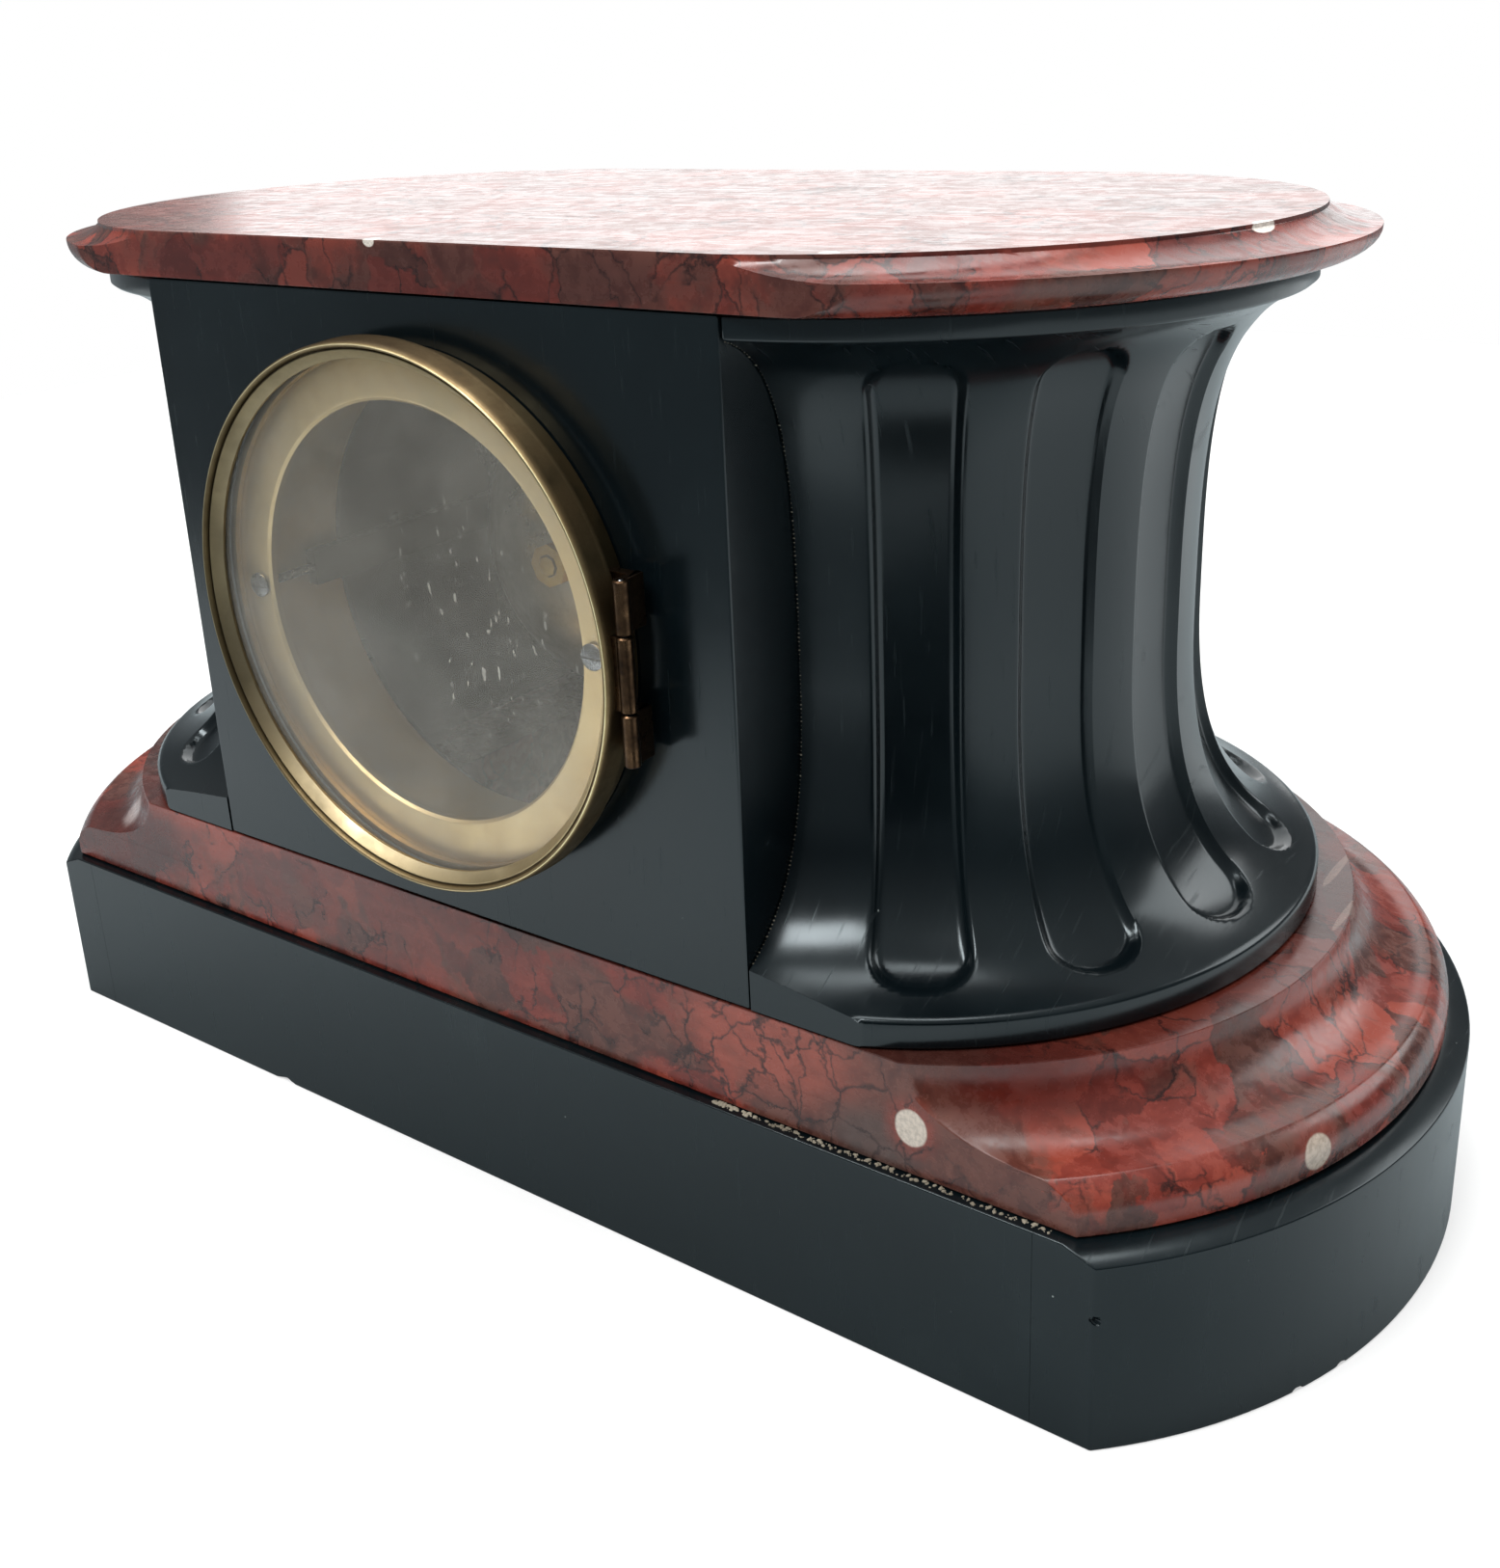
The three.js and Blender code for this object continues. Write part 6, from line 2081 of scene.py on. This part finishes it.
    def build_grommets(self) -> None:
        """Makes the brass linings of the winding holes."""
        parts = []
        for side in Side:
            section = [
                (2.35, self.back - 0.1),
                (2.9, self.back - 0.1),
                (2.9, self.face),
                (3.9, self.face - 0.01),
                (3.85, self.face - 0.3),
                (3.3, self.face - 0.5),
                (2.6, self.face - 0.4),
                (2.35, self.face),
            ]
            parts.append(self.turn("grommet", section, 48, side.value * self.winding[0], self.winding[1]))
        piece = Bench.join("winding_grommets", parts)
        Bench.smooth(piece, 50)
        self.dress(piece, self.finishes.clock_brass, Rides.CASE, Slot.BRASS)

    def build_hand(
        self, node: str, body: Rides, length: float, boss: float, bore: float, back: float, width: float
    ) -> None:
        """Makes a leaf hand with a pierced ring near its tip.

        Args:
            node: CAD node that it replaces.
            body: Body that turns it.
            length: Reach from the dial's middle.
            boss: Radius of its boss.
            bore: Radius of its hole.
            back: Y of its back face.
            width: Half its greatest width.
        """
        thick = 0.7
        front = back - thick
        eye = length * 0.72
        eye_outer = width * 1.45
        steps = 28

        def half_width(up: float) -> float:
            """Gives half the leaf's width.

            Args:
                up: Height above the dial's middle.

            Returns:
                Half the width there.
            """
            if up < eye:
                return blend(0.75, 0.5, (up - boss * 0.6) / (eye - boss * 0.6))
            return 0.9 * (1 - (up - eye) / (length - eye)) + 0.02

        heights = [blend(boss * 0.6, length, i / steps) for i in range(steps + 1)]
        right = [(half_width(h), h) for h in heights]
        outline = right + [(-x, h) for x, h in reversed(right)]
        rings = [[Vector((x, y, DIAL_CENTRE + h)) * MM for x, h in outline] for y in (back, front)]
        piece = Bench.loft(f"{node}_leaf", rings)
        eyes = (("boss", boss, bore, 0.0), ("eye", eye_outer, eye_outer - 0.75, eye))
        for name, outer, inner, high in eyes:
            section = [(inner, back), (outer, back), (outer, front), (inner, front)]
            start = (0, front - 1, DIAL_CENTRE + high)
            Bench.carve(piece, Bench.rod("hand_drill", inner, start, 3, OUTWARDS, 40))
            Bench.weld(piece, self.turn(name, section, 40, 0, high))
        Bench.ease(piece, 0.08, segments=1)
        Bench.smooth(piece)
        self.dress(piece, self.finishes.blued_steel, body, Slot.BLUED_STEEL, [node])


@dataclass
class Movement(SubAssembly):
    """The movement: a finely turned bell, and finishes for the wheels, plates and levers of the frame."""

    bell_mouth: float = 16.75
    bell_radius: float = 33.0
    bell_height: float = 21.0
    bell_wall: float = 2.0
    bell_bore: float = 2.4
    steel_nodes: tuple[str, ...] = (
        "going_winding_arbor",
        "strike_winding_arbor",
        "anchor",
        "crutch",
        "suspension_spring",
        "pendulum_rod",
        "hammer",
    )

    def build(self) -> None:
        """Makes the bell and dresses the nodes that keep their CAD shape."""
        self.build_bell()
        for name, node in self.frame["nodes"].items():
            finish = self.finishes.steel if name in self.steel_nodes else self.finishes.clock_brass
            if name.endswith("_strap"):
                finish = self.finishes.dark_steel
            if name.endswith("_mainspring"):
                finish = self.finishes.blued_steel
            node.data.materials.clear()
            node.data.materials.append(finish.made())
            LOG.info("%s: finished as %s", name, finish.title)

    def dome(self, radius: float, height: float, steps: int = 24) -> list[Flat]:
        """Returns the bell's curve from the mouth to near the crown as (radius, Y) points."""
        turns = [math.pi / 2 * i / steps for i in range(steps)]
        return [(radius * math.cos(t * 0.96), self.bell_mouth + height * math.sin(t)) for t in turns]

    def build_bell(self) -> None:
        """Turns the bell."""
        crown = self.bell_mouth + self.bell_height
        outside = self.dome(self.bell_radius, self.bell_height)
        lining = self.dome(self.bell_radius - self.bell_wall, self.bell_height - self.bell_wall)
        section = outside + [(self.bell_bore, crown), (self.bell_bore, crown - self.bell_wall)] + lining[::-1]
        piece = Bench.turned("bell_turning", section, (0, 0, DIAL_CENTRE), OUTWARDS, 96)
        Bench.smooth(piece)
        self.dress(piece, self.finishes.bell_metal, Rides.CASE, Slot.BELL_METAL, ["bell"])


@dataclass(frozen=True)
class WhitePaper(Finish):
    """Matt white paper: white to the eye, with a painted shadow of the clock, greyer near it, in what it
    throws on the stone.
    """

    # Painted shadow of the clock: the tone by the plinth and the tone away from it
    shadowed_paper: str = "#a6b0b3"
    far_shade: str = "#dde3e5"
    plinth_back: float = 75.0
    plinth_left: float = -166.0
    painted_shadow_reach: Flat = (5.0, 110.0)

    def material(self) -> Material:
        """Makes the material.

        Returns:
            Paper that is half lit from within for the camera, and for the clock a matt sheet with a painted
            shadow by the plinth.
        """
        material, tree, coords = self.start()
        paper = add_node(tree, "BsdfDiffuse", {"Color": linear("#fdfdfc")})
        glow = add_node(tree, "Emission", {"Color": linear("#ffffff")})
        seen = add_node(tree, "MixShader", {0: 0.5, 1: paper.outputs[0], 2: glow.outputs[0]})
        # Painted shadow: greyer towards the plinth's back and left end, in what the paper throws
        split = add_node(tree, "SeparateXYZ", {0: coords})
        behind = add_node(
            tree, "Math", {0: split.outputs[1], 1: self.plinth_back * MM}, operation="SUBTRACT"
        )
        beside = add_node(
            tree, "Math", {0: self.plinth_left * MM, 1: split.outputs[0]}, operation="SUBTRACT"
        )
        apart = add_node(tree, "Math", {0: behind.outputs[0], 1: beside.outputs[0]}, operation="MAXIMUM")
        near, far = self.painted_shadow_reach
        away = add_node(tree, "MapRange", {0: apart.outputs[0], 1: near * MM, 2: far * MM})
        shades = ((0.0, self.shadowed_paper), (1.0, self.far_shade))
        shade = add_node(tree, "ValToRGB", {0: away.outputs[0]}, shades)
        thrown = add_node(tree, "BsdfDiffuse", {"Color": shade.outputs[0]})
        path = add_node(tree, "LightPath")
        both = add_node(
            tree, "MixShader", {0: path.outputs["Is Camera Ray"], 1: thrown.outputs[0], 2: seen.outputs[0]}
        )
        add_node(tree, "OutputMaterial", {"Surface": both.outputs[0]})
        return material


@dataclass(frozen=True)
class BlackCard(Finish):
    """Matt black card: no shine at all."""

    colour: str = "#0c0e10"

    def material(self) -> Material:
        """Makes the material.

        Returns:
            Plain black without any pattern.
        """
        material, tree, _ = self.start()
        self.close(tree, {"Base Color": linear(self.colour), "Roughness": 1.0, "Specular IOR Level": 0.0})
        return material


@dataclass(frozen=True)
class Softbox:
    """A soft rectangular light: its middle, aim, width and height in millimetres, and its power in watts."""

    name: str
    place: tuple[float, float, float]
    aim: tuple[float, float, float]
    size: Flat
    watts: float

    def build(self) -> None:
        """Adds the light."""
        data = bpy.data.lights.new(self.name, "AREA")
        data.shape = "RECTANGLE"
        data.size = self.size[0] * MM
        data.size_y = self.size[1] * MM
        data.energy = self.watts
        light = bpy.data.objects.new(self.name, data)
        bpy.context.scene.collection.objects.link(light)
        turn = (Vector(self.aim) - Vector(self.place)).to_track_quat("-Z", "Y").to_matrix().to_4x4()
        light.matrix_world = Matrix.Translation(Vector(self.place) * MM) @ turn


@dataclass
class Studio:
    """Pale table, soft lights, a bright surround and the camera of the photograph."""

    eye: tuple[float, float, float] = (-220.19, 275.57, 213.69)
    aim: tuple[float, float, float] = (32.14, -66.22, 65.34)
    roll: float = -2.54
    focal_pixels: float = 1767.6
    centre_pixel: Flat = (773.0, 663.2)
    sensor: float = 36.0
    clip: float = 10.0
    table_edge: float = 330.0
    table_sides: tuple[float, float, float] = (-700.0, 900.0, -950.0)
    table_drop: float = 0.05
    card_half: float = 38.0
    card_low: float = 50.0
    card_high: float = 92.0
    card_foot: Flat = (-140.0, 130.0)
    room: tuple[tuple[float, str], ...] = ((0.0, "#939b9f"), (0.2, "#64696c"), (0.8, "#cacccd"))
    room_strength: float = 0.9
    lights: tuple[Softbox, ...] = (
        Softbox("far_softbox", (590, -1095, 850), (0, 0, 250), (1500, 1640), 13.6),
        Softbox("overhead_softbox", (0, -60, 1500), (0, 0, 100), (800, 800), 14.0),
        Softbox("end_softbox", (-780, -740, 710), (-100, 0, 80), (700, 500), 5.0),
        Softbox("near_softbox", (150, 650, 1000), (0, 0, 100), (760, 240), 11.0),
    )

    def build(self) -> None:
        """Sets up the whole studio."""
        self.build_camera()
        self.build_table()
        self.build_world()
        for light in self.lights:
            light.build()
        self.build_dark_card()
        bpy.context.scene.view_settings.view_transform = "Standard"

    def build_camera(self) -> None:
        """Places the camera where the photograph was taken from."""
        data = bpy.data.cameras.new("photo_camera")
        data.sensor_fit = "HORIZONTAL"
        data.sensor_width = self.sensor
        data.lens = self.focal_pixels / PHOTO_WIDTH * data.sensor_width
        data.shift_x = (PHOTO_WIDTH / 2 - self.centre_pixel[0]) / PHOTO_WIDTH
        data.shift_y = (self.centre_pixel[1] - PHOTO_HEIGHT / 2) / PHOTO_WIDTH
        data.clip_start = self.clip * MM
        camera = bpy.data.objects.new("photo_camera", data)
        bpy.context.scene.collection.objects.link(camera)
        look = (Vector(self.aim) - Vector(self.eye)).to_track_quat("-Z", "Y").to_matrix().to_4x4()
        roll = Matrix.Rotation(math.radians(self.roll), 4, "Z")
        camera.matrix_world = Matrix.Translation(Vector(self.eye) * MM) @ look @ roll
        bpy.context.scene.camera = camera

    @staticmethod
    def sheet(name: str, corners: Sequence[Vector], finish: Finish) -> Piece:
        """Adds a flat sheet of the stage.

        Args:
            name: Name of the sheet.
            corners: Its four corners in millimetres, one pair of ends and then the other.
            finish: Its finish.

        Returns:
            The sheet.
        """
        Bench.clear()
        bpy.ops.mesh.primitive_plane_add(size=1)
        sheet = bpy.context.active_object
        sheet.name = name
        for vertex, corner in zip(sheet.data.vertices, corners):
            vertex.co = corner * MM
        sheet.data.materials.append(finish.made())
        return sheet

    def build_table(self) -> None:
        """Lays the pale table, which ends between the clock and the photographer."""
        left, right, far = self.table_sides
        places = ((left, far), (right, far), (left, self.table_edge), (right, self.table_edge))
        corners = [Vector((x, y, -self.table_drop)) for x, y in places]
        self.sheet("pale_table", corners, WhitePaper("white_paper"))

    def build_dark_card(self) -> None:
        """Stands a small dark card out of sight by the left drum, which only the polished stone sees."""
        back = Vector(self.eye) - Vector(self.aim)
        back.z = 0
        back.normalize()
        across = Vector((-back.y, back.x, 0)) * self.card_half
        foot = Vector((*self.card_foot, 0))
        heights = [Vector((0, 0, height)) for height in (self.card_low, self.card_high)]
        corners = [foot + side * across + height for height in heights for side in (-1, 1)]
        card = self.sheet("dark_card", corners, BlackCard("black_card"))
        card.visible_camera = False
        card.visible_shadow = False
        card.visible_diffuse = False

    def build_world(self) -> None:
        """Makes the surround: white where the camera sees it, and a dim room for light and reflections."""
        world = bpy.data.worlds.new("white_sweep")
        world.use_nodes = True
        tree = world.node_tree
        tree.nodes.clear()
        seen = add_node(tree, "Background", {"Color": linear("#ffffff"), "Strength": 1.0})
        coords = add_node(tree, "TexCoord")
        split = add_node(tree, "SeparateXYZ", {0: coords.outputs["Generated"]})
        rise = add_node(tree, "ValToRGB", {0: split.outputs["Z"]}, self.room)
        room = add_node(tree, "Background", {"Color": rise.outputs[0], "Strength": self.room_strength})
        path = add_node(tree, "LightPath")
        both = add_node(
            tree, "MixShader", {0: path.outputs["Is Camera Ray"], 1: room.outputs[0], 2: seen.outputs[0]}
        )
        add_node(tree, "OutputWorld", {"Surface": both.outputs[0]})
        bpy.context.scene.world = world


def main() -> None:
    """Builds the studio and every sub-assembly, and notes the sizes."""
    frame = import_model()
    finishes = Finishes()
    Studio().build()
    assemblies: list[SubAssembly] = [
        Movement(frame, finishes),
        Plinth(frame, finishes),
        BaseMoulding(frame, finishes),
        Panel(frame, finishes, Facing.BACK),
        Panel(frame, finishes, Facing.FRONT),
        Drum(frame, finishes, Side.LEFT),
        Drum(frame, finishes, Side.RIGHT),
        JointGritAndSeamHighlight(frame, finishes),
        TopSlab(frame, finishes),
        RoundDoor(
            frame,
            finishes,
            Facing.BACK,
            ring_outer=50.85,
            ring_inner=47.25,
            foot=4.7,
            proud=10.2,
            lip=7.1,
            flange_inner=39.2,
            flange_face=3.4,
            glass_radius=48.8,
            glass_back=5.0,
            glass_edge=6.65,
            glass_front=6.8,
            glass_bevel=0.4,
        ),
        RoundDoor(
            frame,
            finishes,
            Facing.FRONT,
            ring_outer=54.5,
            ring_inner=47.5,
            foot=3.5,
            proud=12.2,
            lip=11.3,
            flange_inner=41.5,
            flange_face=2.2,
            glass_radius=49.05,
            glass_back=9.2,
            glass_edge=10.3,
            glass_front=11.0,
            glass_bevel=8.0,
        ),
        StrapScrews(frame, finishes),
        Dial(frame, finishes),
    ]
    for assembly in assemblies:
        assembly.build()
    Bench.clear()


if __name__ == "__main__":
    logging.basicConfig(level=logging.INFO, format="%(name)s %(message)s")
    main()
